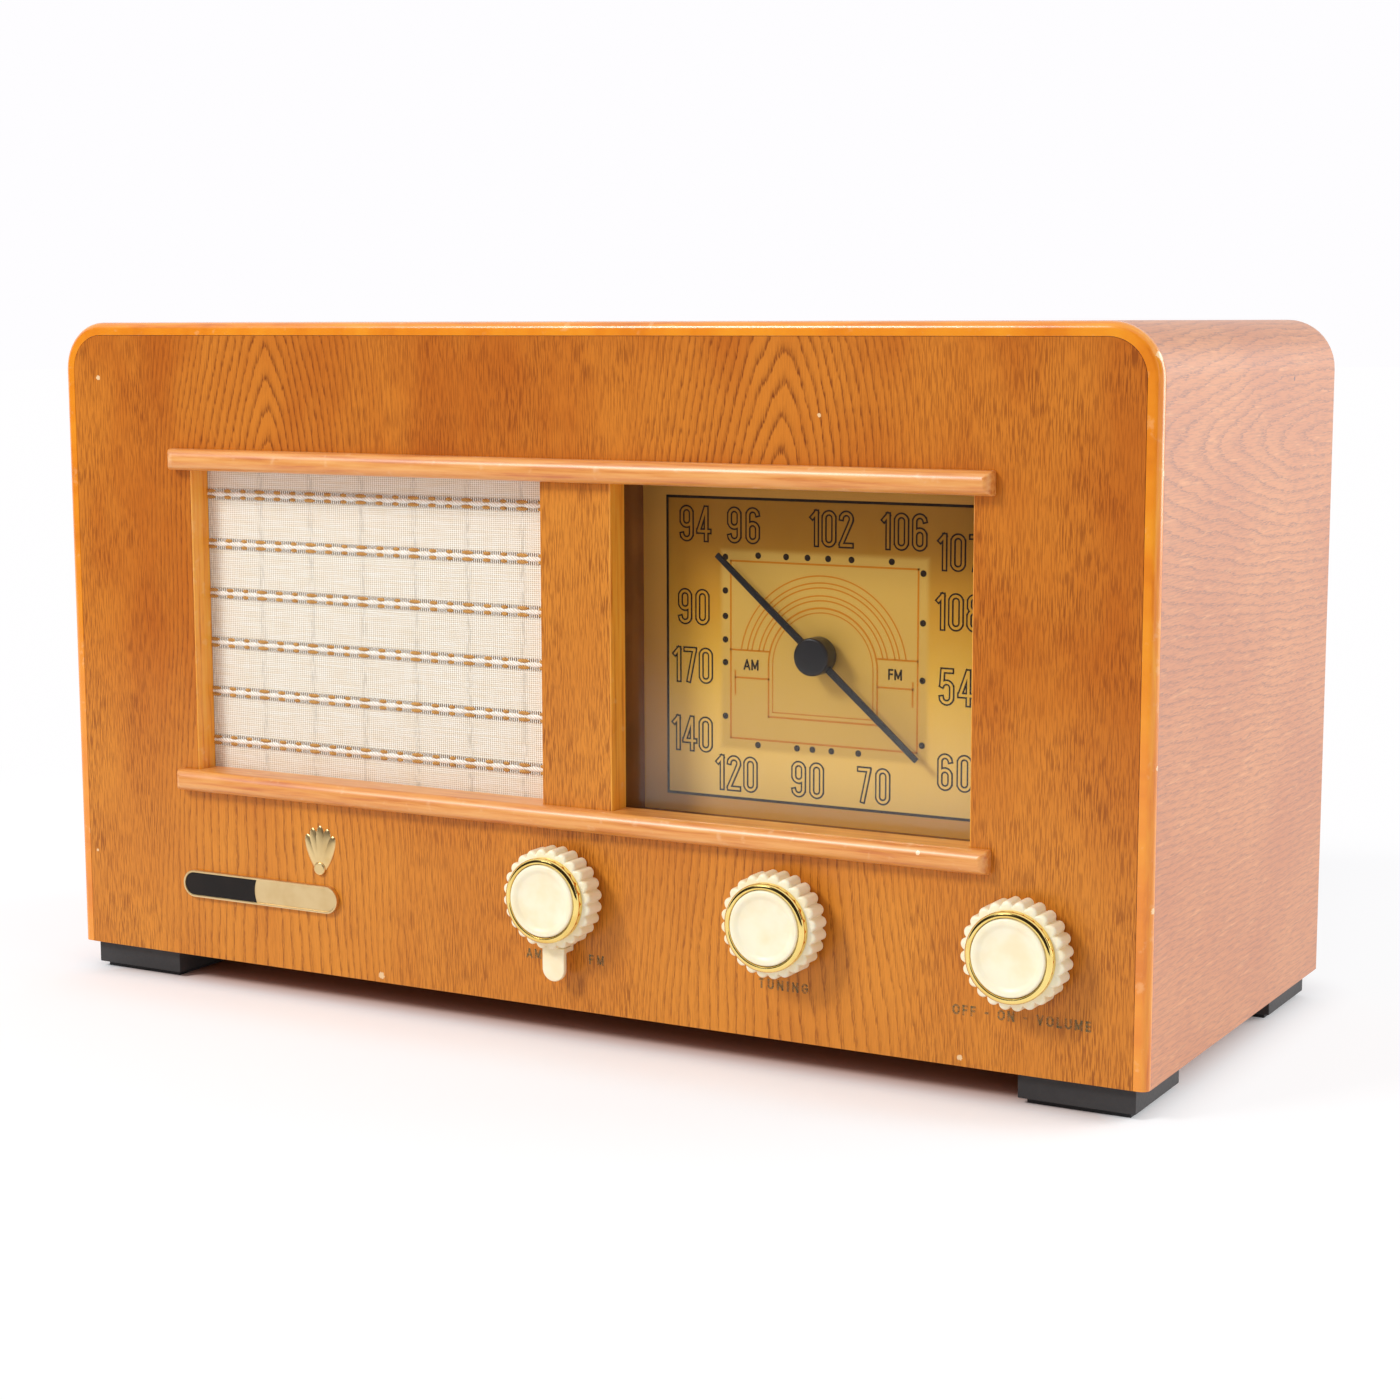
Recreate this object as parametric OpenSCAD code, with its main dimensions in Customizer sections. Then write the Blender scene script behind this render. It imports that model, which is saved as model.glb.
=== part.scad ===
// Table radio: wooden cabinet, woven grille, square dial behind glass, three ribbed knobs.
// Front faces -Y, up is +Z, origin at the middle of the footprint on the surface it stands on.
// Inside the modules y is measured back from the front panel's face and z up from the
// cabinet's underside; placed() moves that local frame to its place.

/* [Cabinet] */
// Width over the two sides
cabinet_w = 370; // [340:1:420]
// Height of the cabinet without its feet
cabinet_h = 203; // [190:1:240]
// Depth from the front panel's face to the rear edge
cabinet_d = 156; // [150:1:210]
// Thickness of the wrapped top and sides
wall_t = 12; // [11.5:0.5:14]
// Outer radius of the two upper corners
corner_r = 15; // [8:0.5:24]
// Thickness of the bottom board
bottom_t = 12; // [9:0.5:15]
// Thickness of the back panel
back_t = 4; // [2:0.5:5]
// How far the back panel lies inside the rear edge
back_recess = 4; // [2:0.5:6]
// Width of the rebate that the back panel lies in
back_rebate = 6; // [4:0.5:6]
// Clearance round boards that are glued or screwed in
board_gap = 0.1; // [0.05:0.05:0.4]

/* [Front panel] */
// Thickness of the front panel
panel_t = 8; // [6:0.5:9]
// Width of the solid edge band as seen from the front
band_w = 4; // [3:0.5:6]
// How far the edge band reaches back along the sides
band_t = 3; // [2:0.5:4]
// Rounding of the edge band's outer front edge
band_round = 2.4; // [0.5:0.1:2.8]
// Height of the sill of both openings above the underside
opening_z = 61.5; // [61:0.5:70]
// Height of the panel above both openings
header_h = 46; // [36:0.5:52]
// Width of the panel to the left of the grille opening
left_stile = 51; // [42:0.5:62]
// Width of the panel to the right of the dial opening
right_stile = 52; // [46:0.5:62]
// Width of the post between the openings
mullion_w = 24; // [22:1:30]
// Width of the dial opening
dial_w = 113; // [108:1:120]

/* [Rails] */
// Height of a rail's nose
rail_h = 6.7; // [5:0.1:8]
// How far a rail's nose stands in front of the panel
rail_proud = 5; // [4:0.1:7]
// How far the rails run past the openings at each end
rail_over = 6.7; // [4:0.1:12]
// Thickness of the part of a rail that lines the opening
rail_lining = 3; // [2:0.1:4]
// Rounding of a rail's front edges and ends
rail_round = 3; // [1:0.1:3.3]

/* [Feet] */
// Width of a foot
foot_w = 34; // [26:1:44]
// Length of a foot from front to back
foot_l = 35; // [26:1:44]
// Height of a foot without its pad
foot_h = 7.4; // [6:0.1:12]
// Thickness of the pad under a foot
pad_t = 1.6; // [1:0.1:3]
// How far a pad lies inside its foot's outline
pad_inset = 2; // [1:0.1:4]
// Distance from a foot to the cabinet's side
foot_side = 4; // [2:0.5:12]
// Distance from a front foot to the front face
foot_front = 2.8; // [1:0.1:12]
// Distance from a rear foot to the rear edge
foot_rear = 0.6; // [0:0.1:12]
// Diameter of the screw hole through a pad
pad_hole = 11; // [9.5:0.1:14]

/* [Grille and speaker] */
// Thickness of the grille cloth
cloth_t = 0.6; // [0.4:0.1:1]
// How far the cloth reaches behind the panel round its opening
cloth_lap = 7; // [5:0.5:7.5]
// Thickness of the baffle board
baffle_t = 6; // [5:0.5:9]
// How far the baffle reaches past its opening
baffle_lap = 13; // [12.5:0.5:14]
// Outer diameter of the speaker frame
speaker_d = 102; // [90:1:104]
// Depth of the speaker frame from its flange to the magnet
speaker_l = 27; // [24:0.5:34]
// Sheet thickness of the speaker frame
speaker_t = 1.2; // [1:0.1:1.6]
// Width of the speaker frame's flange
flange_w = 8; // [7:0.5:9]
// Diameter of the magnet
magnet_d = 55; // [46:1:60]
// Thickness of the magnet ring
magnet_t = 11; // [8:0.5:14]
// Thickness of the yoke's plates
yoke_t = 4; // [3:0.5:5]
// Diameter of the voice coil's former
coil_d = 21; // [18:0.5:24]
// Travel of the cone to each side of rest
cone_travel = 1; // [0.5:0.1:1.4]

/* [Dial] */
// Thickness of the dial glass
glass_t = 2; // [1.5:0.1:3]
// Depth of the dial frame between the glass and the dial plate
dial_depth = 14; // [13:0.5:18]
// Margin of the dial frame's inside round its opening
dial_margin = 3; // [2:0.5:4]
// Wall thickness of the dial frame
dial_wall = 2.5; // [2:0.1:3]
// Thickness of the dial plate
plate_t = 1; // [0.8:0.1:1.6]
// How far the pointer's axis lies below the middle of the opening
dial_drop = 1; // [0:0.5:3]
// Room between the pointer's tips and the opening's upper edge
needle_room = 4.35; // [3:0.05:12]
// Width of the pointer's arms
needle_w = 2.2; // [1.4:0.1:3]
// Thickness of the pointer's arms
needle_t = 0.8; // [0.6:0.1:1.2]
// Diameter of the pointer's hub
hub_d = 11; // [9:0.5:14]
// Length of the pointer's hub
hub_l = 6.4; // [5:0.1:7]
// Clearance between the dial plate and the pointer's hub
hub_gap = 1.9; // [1:0.1:2.4]
// Angle of the pointer at rest, up from its level position
needle_angle = 139; // [95:1:175]
// Diameter of a lamp bulb
bulb_d = 4.5; // [3.5:0.1:6]
// Diameter of a lamp holder
holder_d = 8; // [7:0.5:9]

/* [Tuning drive] */
// Diameter of the pointer shaft
shaft_d = 6; // [5:0.5:7]
// Radial clearance of a shaft in its bearing
shaft_gap = 0.05; // [0.02:0.01:0.1]
// Distance from the front face to the middle of the cord's run
drive_y = 35; // [34.5:0.5:36]
// Diameter of the drum at the bottom of its groove
drum_d = 60; // [50:1:64]
// Turns of the tuning knob for one turn of the pointer
drive_ratio = 6; // [5:0.5:7]
// Diameter of the drive cord
cord_d = 0.8; // [0.5:0.1:1]
// Thickness of the sheet metal brackets
sheet_t = 1.5; // [1:0.1:2]
// Width of the tuning bracket
bracket_w = 50; // [47:1:60]
// Width and height of the tuning capacitor's frame
cap_w = 44; // [43.5:0.5:46]
// Length of the tuning capacitor's frame
cap_l = 33; // [30:1:36]
// Thickness of a capacitor vane
vane_t = 0.6; // [0.4:0.1:0.8]
// Number of rotor vanes
vane_n = 8; // [5:1:9]
// Radius of a rotor vane
vane_r = 17.5; // [14:0.5:17.5]

/* [Knobs and controls] */
// Height of the knobs' axes above the underside
knob_z = 35.2; // [33:0.2:36.6]
// Distance between the knobs' axes
knob_pitch = 73.4; // [66:0.2:74]
// Diameter over a knob's ribs
knob_d = 30.2; // [28:0.2:36]
// Diameter of one rib
rib_d = 2.6; // [1.6:0.1:3]
// Number of ribs round a knob
rib_n = 24; // [18:1:28]
// Gap between the panel and a knob
knob_gap = 3.2; // [3:0.1:5]
// Length of a knob's ribbed skirt
skirt_l = 7; // [5:0.1:10]
// Outer diameter of the gold ring
ring_d = 25.4; // [23:0.1:26]
// Diameter of a knob's face inside the ring
face_d = 21.6; // [18:0.1:22]
// Length of the gold ring
ring_l = 2.5; // [1.5:0.1:4]
// How far a knob's face stands in front of its ring
face_proud = 0.2; // [0:0.1:0.6]
// Width of the band lever's tab
lever_w = 7.6; // [6:0.1:9]
// Distance from the knob's axis to the lever's lower end
lever_l = 25.4; // [24:0.2:30]
// Thickness of the band lever
lever_t = 1.6; // [1.2:0.1:1.8]
// How far the lever's tab stands in front of the panel
lever_proud = 6.4; // [5:0.1:8]
// Diameter of the band switch's sleeve
sleeve_d = 9; // [8.5:0.1:9.5]
// Diameter of the threaded bushings
bushing_d = 12; // [11:0.1:12.4]
// Width over flats of the control nuts
nut_w = 16; // [14:0.5:18]
// Thickness of the control nuts
nut_t = 2.2; // [1.5:0.1:2.4]
// Diameter of a potentiometer
pot_d = 23; // [20:0.5:23]
// Length of a potentiometer's housing
pot_l = 10; // [8:0.5:14]
// Width of the band switch
switch_w = 30; // [26:1:34]
// Length of the band switch
switch_l = 8; // [6:0.5:10]

/* [Chassis and electronics] */
// Distance from the panel's back to the chassis' front flange
nut_room = 4; // [3.5:0.1:5]
// Depth of the chassis
chassis_d = 112; // [108:1:116]
// How far the chassis' front flange rises above the controls' axes
flange_over = 11; // [10:0.5:11.5]
// How far the chassis runs past the outer controls
chassis_over = 14; // [12.5:0.5:15]
// Height of the standoffs under the circuit board
standoff_h = 6; // [4:0.5:6.5]
// Diameter of the standoffs
standoff_d = 6; // [5:0.5:8]
// Thickness of the circuit board
board_t = 1.6; // [1:0.1:2]
// Width of the circuit board
board_w = 150; // [140:1:156]
// Depth of the circuit board
board_d = 62; // [58:1:66]
// Width of a screened coil can
can_w = 10; // [8:0.5:12]
// Height of a screened coil can
can_h = 14; // [10:0.5:18]
// Number of screened coil cans
can_n = 4; // [2:1:4]
// Diameter of a filter capacitor
filter_d = 13; // [10:0.5:15]
// Height of a filter capacitor
filter_h = 26; // [20:1:34]
// Diameter of the ferrite rod
rod_d = 10; // [8:0.5:12]
// Length of the ferrite rod
rod_l = 130; // [110:1:140]
// Height of the ferrite rod above the circuit board
rod_h = 24; // [18:1:30]
// Width of the transformer's core
core_w = 54; // [48:1:58]
// Height of the transformer's core
core_h = 45; // [40:1:50]
// Stack thickness of the transformer's core
core_t = 22; // [18:1:28]
// Width of a core limb
limb_w = 9; // [8:0.5:10]
// How far the coil stands out of the core at front and back
coil_over = 8; // [5:0.5:10]
// Distance from the transformer to the cabinet's left side
core_side = 42; // [42:1:60]

/* [Back] */
// Width of a vent slot
slot_w = 3; // [2:0.5:4]
// Height of a vent slot
slot_h = 22; // [16:1:26]
// Distance between the middles of neighbouring vent slots
slot_pitch = 9; // [7:0.5:12]
// Number of vent slots in a row
slot_n = 14; // [8:1:16]
// Width of the power inlet
inlet_w = 22; // [20:0.5:26]
// Height of the power inlet
inlet_h = 13; // [12:0.5:16]
// Depth of the power inlet
inlet_l = 16; // [14:0.5:20]
// Diameter of an aerial terminal's knurled head
terminal_d = 9; // [7:0.5:11]

/* [Badges] */
// Length of the name plate
badge_w = 61.2; // [50:0.2:66]
// Height of the name plate
badge_h = 8.7; // [7:0.1:11]
// Thickness of the badges
badge_t = 1.6; // [1:0.1:2.4]
// Height of the name plate's middle above the underside
badge_z = 24.2; // [20:0.2:27]
// Width of the emblem
emblem_w = 11.2; // [9:0.2:14]
// Height of the emblem
emblem_h = 16.2; // [12:0.2:18]

/* [Screws] */
// Diameter of a wood screw
screw_d = 3; // [2.5:0.1:3.4]
// Diameter of a screw's head
head_d = 6; // [5.6:0.1:6.4]
// Thickness of a screw's head
head_t = 2.2; // [1.6:0.1:2.6]
// Clearance round screws and pins
screw_gap = 0.1; // [0.05:0.05:0.3]

/* [Hidden] */
$fn = 48;

// Overshoot of a cut past the face it opens
cut = 1;
// Overlap of two shapes of one piece
fuse = 0.5;
// Depth of the screw holes in the panel and in the shell's rebate, the room past a screw's tip,
// and the distance of the baffle's screws from its edges
pilot = 4;
back_pilot = 12;
tip_gap = 0.5;
screw_edge = 3.5;
// Colours
oak = "#c97a30";
oak_side = "#d99a6c";
amber = "#dd8a30";
cream = "#f6ecc6";
gold = "#d9b45a";
black = "#26262a";
steel = "#b9bcc0";
raw_board = "#b48a5c";

// Levels and planes
stand_h = foot_h + pad_t;
foot_sink = head_t + 0.6;
knob_front = knob_gap + skirt_l + ring_l + face_proud;
front_y = (knob_front - cabinet_d) / 2;
back_face = cabinet_d - back_recess;
back_y = back_face - back_t;
inner_w = cabinet_w - 2 * wall_t;

// Openings
openings_w = cabinet_w - left_stile - right_stile;
grille_w = openings_w - mullion_w - dial_w;
openings_x = (left_stile - right_stile) / 2;
grille_x = openings_x - openings_w / 2 + grille_w / 2;
dial_x = openings_x + openings_w / 2 - dial_w / 2;
opening_top = cabinet_h - header_h;
opening_h = opening_top - opening_z;
opening_mid = opening_z + opening_h / 2;
dial_z = opening_mid - dial_drop;

// Speaker stack, from the cloth back
cloth_y = panel_t + board_gap;
baffle_y = cloth_y + cloth_t + board_gap;
speaker_y = baffle_y + baffle_t;
magnet_y = speaker_y + speaker_l;
speaker_bore = speaker_d - 2 * flange_w;
speaker_pitch = speaker_d * sqrt(0.5) - head_d / 2;
basket_end = magnet_d / 2 - 1;
cone_t = 0.8;
roll_r = 2.6;
roll_t = 0.5;
edge_gap = 0.3;
cone_r = speaker_bore / 2 - board_gap - 2 * roll_r - edge_gap;
spider_t = 0.6;
spider_y = magnet_y - speaker_t - cone_travel - spider_t;
cone_end = spider_y - cone_travel - edge_gap;
pole_d = coil_d - 2.6;
gap_d = coil_d + 1.6;

// Dial stack
glass_y = panel_t + board_gap;
frame_y = glass_y + glass_t;
plate_y = frame_y + dial_depth;
hub_y = plate_y - hub_gap - hub_l;
needle_l = opening_h / 2 - dial_drop - needle_room;
dial_in_w = dial_w + 2 * dial_margin;
dial_in_h = opening_h + 2 * dial_margin;
dial_out_w = dial_in_w + 2 * dial_wall;
dial_out_h = dial_in_h + 2 * dial_wall;
lug_l = 8;
lug_w = 10;
lug_t = 2;
lug_x = dial_w / 2 - 12;
lamp_x = dial_w / 4;
lamp_y = frame_y + dial_depth / 2 - 2;
lamp_z = opening_mid + dial_out_h / 2;
holder_h = 9;
bulb_out = 2;
bulb_in = 3;

// Tuning drive
drum_w = 5;
drum_rim = 2.5;
groove_w = cord_d + 0.4;
cord_lie = 0.05;
drum_run = drum_d / 2 + cord_lie + cord_d / 2;
spindle_run = drum_run / drive_ratio;
spindle_groove = 2 * (spindle_run - cord_lie) - cord_d;
spindle_w = 8;
spindle_rim = spindle_groove + 4;
bracket_y = drive_y + drum_w / 2 + 5;
cap_y = bracket_y + sheet_t;
shaft_end = cap_y + cap_l + 2;
vane_y = cap_y + 2 * sheet_t;
vane_pitch = (cap_l - 4 * sheet_t) / vane_n;
stator_x = cap_w / 2 - sheet_t;
rotor_hub = shaft_d + 3;

// Controls
tone_x = dial_x - knob_pitch;
volume_x = dial_x + knob_pitch;
chassis_y = panel_t + nut_room;
pot_y = chassis_y + sheet_t;
tone_pot_y = pot_y + switch_l;
bushing_y = panel_t - 2;
panel_hole = bushing_d + 1;
shaft_front = 1.1 - knob_gap - skirt_l;
shaft_blind = pot_l / 2 + 0.2;
lever_y = -(knob_gap + lever_t) / 2;
lever_hub = sleeve_d + 8;
lever_step = 1.6;
tag_w = 14;
tag_h = 8;
tag_t = 1;
spindle_y = drive_y - spindle_w / 2;
bush_end = spindle_y - 2;

// Chassis and electronics
chassis_top = bottom_t + sheet_t;
flange_top = knob_z + flange_over;
terminal_x = inner_w / 2 - core_side;
chassis_x0 = tone_x - chassis_over;
chassis_x1 = volume_x + chassis_over;
chassis_mid = (chassis_x0 + chassis_x1) / 2;
board_z = chassis_top + standoff_h;
board_top = board_z + board_t;
board_y = chassis_y + chassis_d - board_d - 4;
rod_z = board_top + rod_h;
rod_y = board_y + board_d - 10;
clip_x = rod_l / 2 - 14;
core_x = -inner_w / 2 + core_side;
core_y = 85;
core_foot = 12;
parts_y = board_y + 20;
slot_low = opening_mid + 9;
edge_in = 20;
slot_space = 8;
socket_z = 36;
inlet_lip = 2;

// Frame for every piece: y back from the front face, z up from the underside
module placed() {
    translate([0, front_y, stand_h]) children();
}

// Moves sideways and up, within the front view
module at(x, z) {
    translate([x, 0, z]) children();
}

// Extrudes a front-view outline back from y0
module slab(y0, length) {
    translate([0, y0 + length, 0]) rotate([90, 0, 0]) linear_extrude(length) children();
}

// A round bar along Y from y0
module bar(y0, length, d) {
    translate([0, y0 + length, 0]) rotate([90, 0, 0]) cylinder(h = length, d = d);
}

// A round tube along Y from y0
module tube(y0, length, d, bore) {
    difference() {
        bar(y0, length, d);
        bar(y0 - cut, length + 2 * cut, bore);
    }
}

// Solid of revolution about Y: outline in [radius, distance back]
module turned(outline) {
    rotate([-90, 0, 0]) rotate_extrude() polygon(outline);
}

// A rectangle centred on the axis
module plate(w, h) {
    translate([-w / 2, -h / 2]) square([w, h]);
}

// Cabinet outline from the front, inset on its sides and top
module arch(inset, bottom = 0) {
    r = max(corner_r - inset, 1);
    w = cabinet_w - 2 * inset;
    top = cabinet_h - inset;
    translate([-w / 2, bottom]) square([w, top - r - bottom]);
    translate([r - w / 2, bottom]) square([w - 2 * r, top - bottom]);
    for (side = [-1, 1]) translate([side * (w / 2 - r), top - r]) circle(r);
}

// The two openings, taller than the clear height by extra above and below
module openings(extra = 0) {
    translate([grille_x, opening_mid]) plate(grille_w, opening_h + 2 * extra);
    translate([dial_x, opening_mid]) plate(dial_w, opening_h + 2 * extra);
}

// Pan-head screw driven forward: the head's seat is at y, the shank runs towards -Y
module screw(y, length) {
    bar(y - length, length, screw_d);
    difference() {
        bar(y, head_t, head_d);
        slab(y + head_t / 2, head_t) plate(head_d + cut, 0.9);
    }
}

// The same screw upright: seat at z, driven up or down
module upright_screw(z, length, up) {
    translate([0, 0, z]) rotate([up ? -90 : 90, 0, 0]) screw(0, length);
}

// Places of the wood screws in the front view
function baffle_screws() = [for (sx = [-1, 1], sz = [-1, 1])
    [grille_x + sx * (grille_w / 2 + baffle_lap - screw_edge),
     opening_mid + sz * (opening_h / 2 + baffle_lap - screw_edge)]];
function speaker_screws() = [for (sx = [-1, 1], sz = [-1, 1])
    [grille_x + sx * speaker_pitch / 2, opening_mid + sz * speaker_pitch / 2]];
function frame_screws() = [for (sx = [-1, 1], sz = [-1, 1])
    [dial_x + sx * lug_x, opening_mid + sz * (dial_out_h / 2 + lug_l / 2)]];

// Places seen from below: [x, y] of the four feet's middles
function foot_places() = [for (sx = [-1, 1], rear = [0, 1])
    [sx * (cabinet_w / 2 - foot_side - foot_w / 2),
     rear ? cabinet_d - foot_rear - foot_l / 2 : foot_front + foot_l / 2]];
function chassis_screws() = [for (sx = [-1, 1], rear = [0, 1])
    [chassis_mid + sx * ((chassis_x1 - chassis_x0) / 2 - 8),
     chassis_y + (rear ? chassis_d - 8 : 18)]];
function core_screws() = [for (sx = [-1, 1]) [core_x + sx * (core_w + core_foot) / 2, core_y]];

module cabinet_shell() {
    color(oak_side) placed() difference() {
        slab(band_t, cabinet_d - band_t) arch(0);
        slab(band_t - cut, panel_t - band_t + cut) arch(band_w, -cut);
        slab(panel_t - cut, cabinet_d) arch(wall_t, -cut);
        slab(back_y, cabinet_d) arch(back_rebate, -cut);
        for (p = back_screw_places()) at(p.x, p.y)
            bar(back_y - back_pilot, back_pilot + cut, screw_d + 2 * screw_gap);
    }
}

module bottom_board() {
    color(raw_board) placed() difference() {
        translate([-inner_w / 2 + board_gap, panel_t + board_gap, 0])
            cube([inner_w - 2 * board_gap, back_y - panel_t - 2 * board_gap, bottom_t]);
        for (p = concat(foot_places(), chassis_screws(), core_screws())) translate([p.x, p.y, -cut])
            cylinder(h = bottom_t + 2 * cut, d = screw_d + 2 * screw_gap);
    }
}

module front_panel() {
    color(oak) placed() difference() {
        slab(0, panel_t) difference() {
            arch(band_w + board_gap);
            openings(rail_lining);
        }
        for (x = [tone_x, dial_x, volume_x]) at(x, knob_z) bar(-cut, panel_t + 2 * cut, panel_hole);
        for (p = concat(baffle_screws(), frame_screws())) at(p.x, p.y)
            bar(panel_t - pilot, pilot + cut, screw_d + 2 * screw_gap);
    }
}

// Section of the edge band: outwards along x, back along y
module band_section() {
    translate([0, band_round]) square([band_w, band_t - band_round]);
    square([band_w - band_round, band_t]);
    intersection() {
        translate([band_w - band_round, band_round]) circle(band_round);
        square([band_w, band_t]);
    }
}

module front_edge_band() {
    side_h = cabinet_h - corner_r;
    top_w = cabinet_w - 2 * corner_r;
    color(amber) placed() {
        for (side = [0, 1]) mirror([side, 0, 0]) {
            translate([cabinet_w / 2 - band_w, 0, 0]) linear_extrude(side_h) band_section();
            translate([cabinet_w / 2 - corner_r, 0, side_h]) rotate([-90, 0, 0]) rotate([0, 0, -90])
                rotate_extrude(angle = 90) translate([corner_r - band_w, 0]) band_section();
        }
        translate([top_w / 2, 0, cabinet_h - band_w]) rotate([0, -90, 0])
            linear_extrude(top_w) band_section();
    }
}

// Section of a rail's nose: forwards along -x, up along y from its lower edge
module nose_section() {
    r = min(rail_round, rail_h / 2 - 0.1);
    translate([r - rail_proud, 0]) square([rail_proud - r, rail_h]);
    translate([-rail_proud, r]) square([rail_proud, rail_h - 2 * r]);
    intersection() {
        for (z = [r, rail_h - r]) translate([r - rail_proud, z]) circle(r);
        translate([-rail_proud, 0]) square([rail_proud, rail_h]);
    }
}

// A rail along the openings: nose from z up, lining strip from lining_z up
module rail(z, lining_z) {
    length = openings_w + 2 * rail_over;
    intersection() {
        translate([openings_x - length / 2, 0, z]) rotate([90, 0, 90]) linear_extrude(length) nose_section();
        translate([openings_x, 0, z - cut]) linear_extrude(rail_h + 2 * cut) {
            translate([-length / 2, rail_round - rail_proud]) square([length, rail_proud]);
            translate([rail_round - length / 2, -rail_proud]) square([length - 2 * rail_round, rail_proud]);
            for (side = [-1, 1])
                translate([side * (length / 2 - rail_round), rail_round - rail_proud]) circle(rail_round);
        }
    }
    for (o = [[grille_x, grille_w], [dial_x, dial_w]])
        translate([o[0] - o[1] / 2 + board_gap, -fuse, lining_z])
            cube([o[1] - 2 * board_gap, panel_t + fuse, rail_lining - board_gap]);
}

module upper_rail() {
    color(amber) placed() rail(opening_top, opening_top);
}

module lower_rail() {
    color(amber) placed() rail(opening_z - rail_h, opening_z - rail_lining + board_gap);
}

// Places of the screws in the back panel, front view
function back_screw_places() = [
    for (side = [-1, 1], z = [edge_in, cabinet_h / 2, cabinet_h - corner_r - edge_in])
    [side * (cabinet_w / 2 - back_rebate - board_gap - head_d / 2 - 0.2), z]];

// Slots in rows, centred on x and z
module vent_slots(x, z, n) {
    for (i = [0 : n - 1]) translate([x + (i - (n - 1) / 2) * slot_pitch, z]) {
        plate(slot_w, slot_h - slot_w);
        for (s = [-1, 1]) translate([0, s * (slot_h - slot_w) / 2]) circle(d = slot_w);
    }
}

module back_panel() {
    color("#5d4531") placed() difference() {
        slab(back_y, back_t) difference() {
            arch(back_rebate + board_gap, board_gap);
            for (z = [slot_low, slot_low + slot_h + slot_space]) {
                vent_slots(grille_x, z, slot_n);
                vent_slots(dial_x, z, slot_n - 2);
            }
            translate([core_x, socket_z]) plate(inlet_w + 2 * screw_gap, inlet_h + 2 * screw_gap);
        }
        for (p = back_screw_places()) at(p.x, p.y)
            bar(back_y - cut, back_t + 2 * cut, screw_d + 2 * screw_gap);
        for (s = [-1, 1]) at(terminal_x + s * terminal_d, socket_z)
            bar(back_y - cut, back_t + 2 * cut, terminal_d / 2 + 2 * screw_gap);
    }
}

module back_screws() {
    color(black) placed() for (p = back_screw_places()) at(p.x, p.y)
        screw(back_face, back_t + back_pilot - tip_gap);
}

module feet() {
    color(black) placed() for (p = foot_places()) difference() {
        translate([p.x - foot_w / 2, p.y - foot_l / 2, -foot_h]) cube([foot_w, foot_l, foot_h]);
        translate([p.x, p.y, -foot_h - cut]) {
            cylinder(h = foot_h + 2 * cut, d = screw_d + 2 * screw_gap);
            cylinder(h = foot_sink + cut, d = head_d + 1);
        }
    }
}

module foot_pads() {
    color("#1a1a1c") placed() for (p = foot_places()) difference() {
        translate([p.x - foot_w / 2 + pad_inset, p.y - foot_l / 2 + pad_inset, -stand_h])
            cube([foot_w - 2 * pad_inset, foot_l - 2 * pad_inset, pad_t]);
        translate([p.x, p.y, -stand_h - cut]) cylinder(h = pad_t + 2 * cut, d = pad_hole);
    }
}

module wood_screws() {
    color(steel) placed() {
        for (p = foot_places()) translate([p.x, p.y, 0])
            upright_screw(foot_sink - foot_h, foot_h - foot_sink + bottom_t - tip_gap, true);
        for (p = baffle_screws()) at(p.x, p.y) screw(speaker_y, speaker_y - panel_t + pilot - tip_gap);
        for (p = speaker_screws()) at(p.x, p.y) screw(speaker_y + speaker_t, speaker_t + baffle_t - tip_gap);
        for (p = frame_screws()) at(p.x, p.y)
            screw(frame_y + lug_t, frame_y + lug_t - panel_t + pilot - tip_gap);
        for (p = chassis_screws()) translate([p.x, p.y, 0]) upright_screw(chassis_top, bottom_t, false);
        for (p = core_screws()) translate([p.x, p.y, 0]) upright_screw(bottom_t + sheet_t, bottom_t, false);
    }
}

module speaker_baffle() {
    color("#8f6f4a") placed() difference() {
        at(grille_x, opening_mid) slab(baffle_y, baffle_t)
            plate(grille_w + 2 * baffle_lap, opening_h + 2 * baffle_lap);
        at(grille_x, opening_mid) bar(baffle_y - cut, baffle_t + 2 * cut, speaker_bore);
        for (p = concat(baffle_screws(), speaker_screws())) at(p.x, p.y)
            bar(baffle_y - cut, baffle_t + 2 * cut, screw_d + 2 * screw_gap);
    }
}

module grille_cloth() {
    color("#efe3c8") placed() at(grille_x, opening_mid) slab(cloth_y, cloth_t)
        plate(grille_w + 2 * cloth_lap, opening_h + 2 * cloth_lap);
}

module speaker_frame() {
    rim = speaker_bore / 2;
    hole = gap_d / 2 + 2;
    back = speaker_y + speaker_t;
    ear = speaker_pitch + head_d + 4;
    window_w = magnet_d / 2 + 6;
    window_y = back + 2;
    window_l = magnet_y - 5 - window_y;
    color(steel) placed() at(grille_x, opening_mid) difference() {
        union() {
            turned([[rim, speaker_y], [speaker_d / 2, speaker_y], [speaker_d / 2, back],
                    [rim + speaker_t, back], [basket_end + speaker_t, magnet_y], [hole, magnet_y],
                    [hole, magnet_y - speaker_t], [basket_end, magnet_y - speaker_t], [rim, back]]);
            intersection() {
                slab(speaker_y, speaker_t) plate(ear, ear);
                tube(speaker_y, speaker_t, speaker_pitch * sqrt(2) + head_d + 3, speaker_bore + 2);
            }
        }
        for (i = [0 : 3]) rotate([0, 45 + 90 * i, 0]) translate([0, window_y, -window_w / 2])
            cube([speaker_d, window_l, window_w]);
        for (sx = [-1, 1], sz = [-1, 1]) at(sx * speaker_pitch / 2, sz * speaker_pitch / 2)
            bar(speaker_y - cut, speaker_t + 2 * cut, screw_d + 2 * screw_gap);
    }
}

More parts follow.
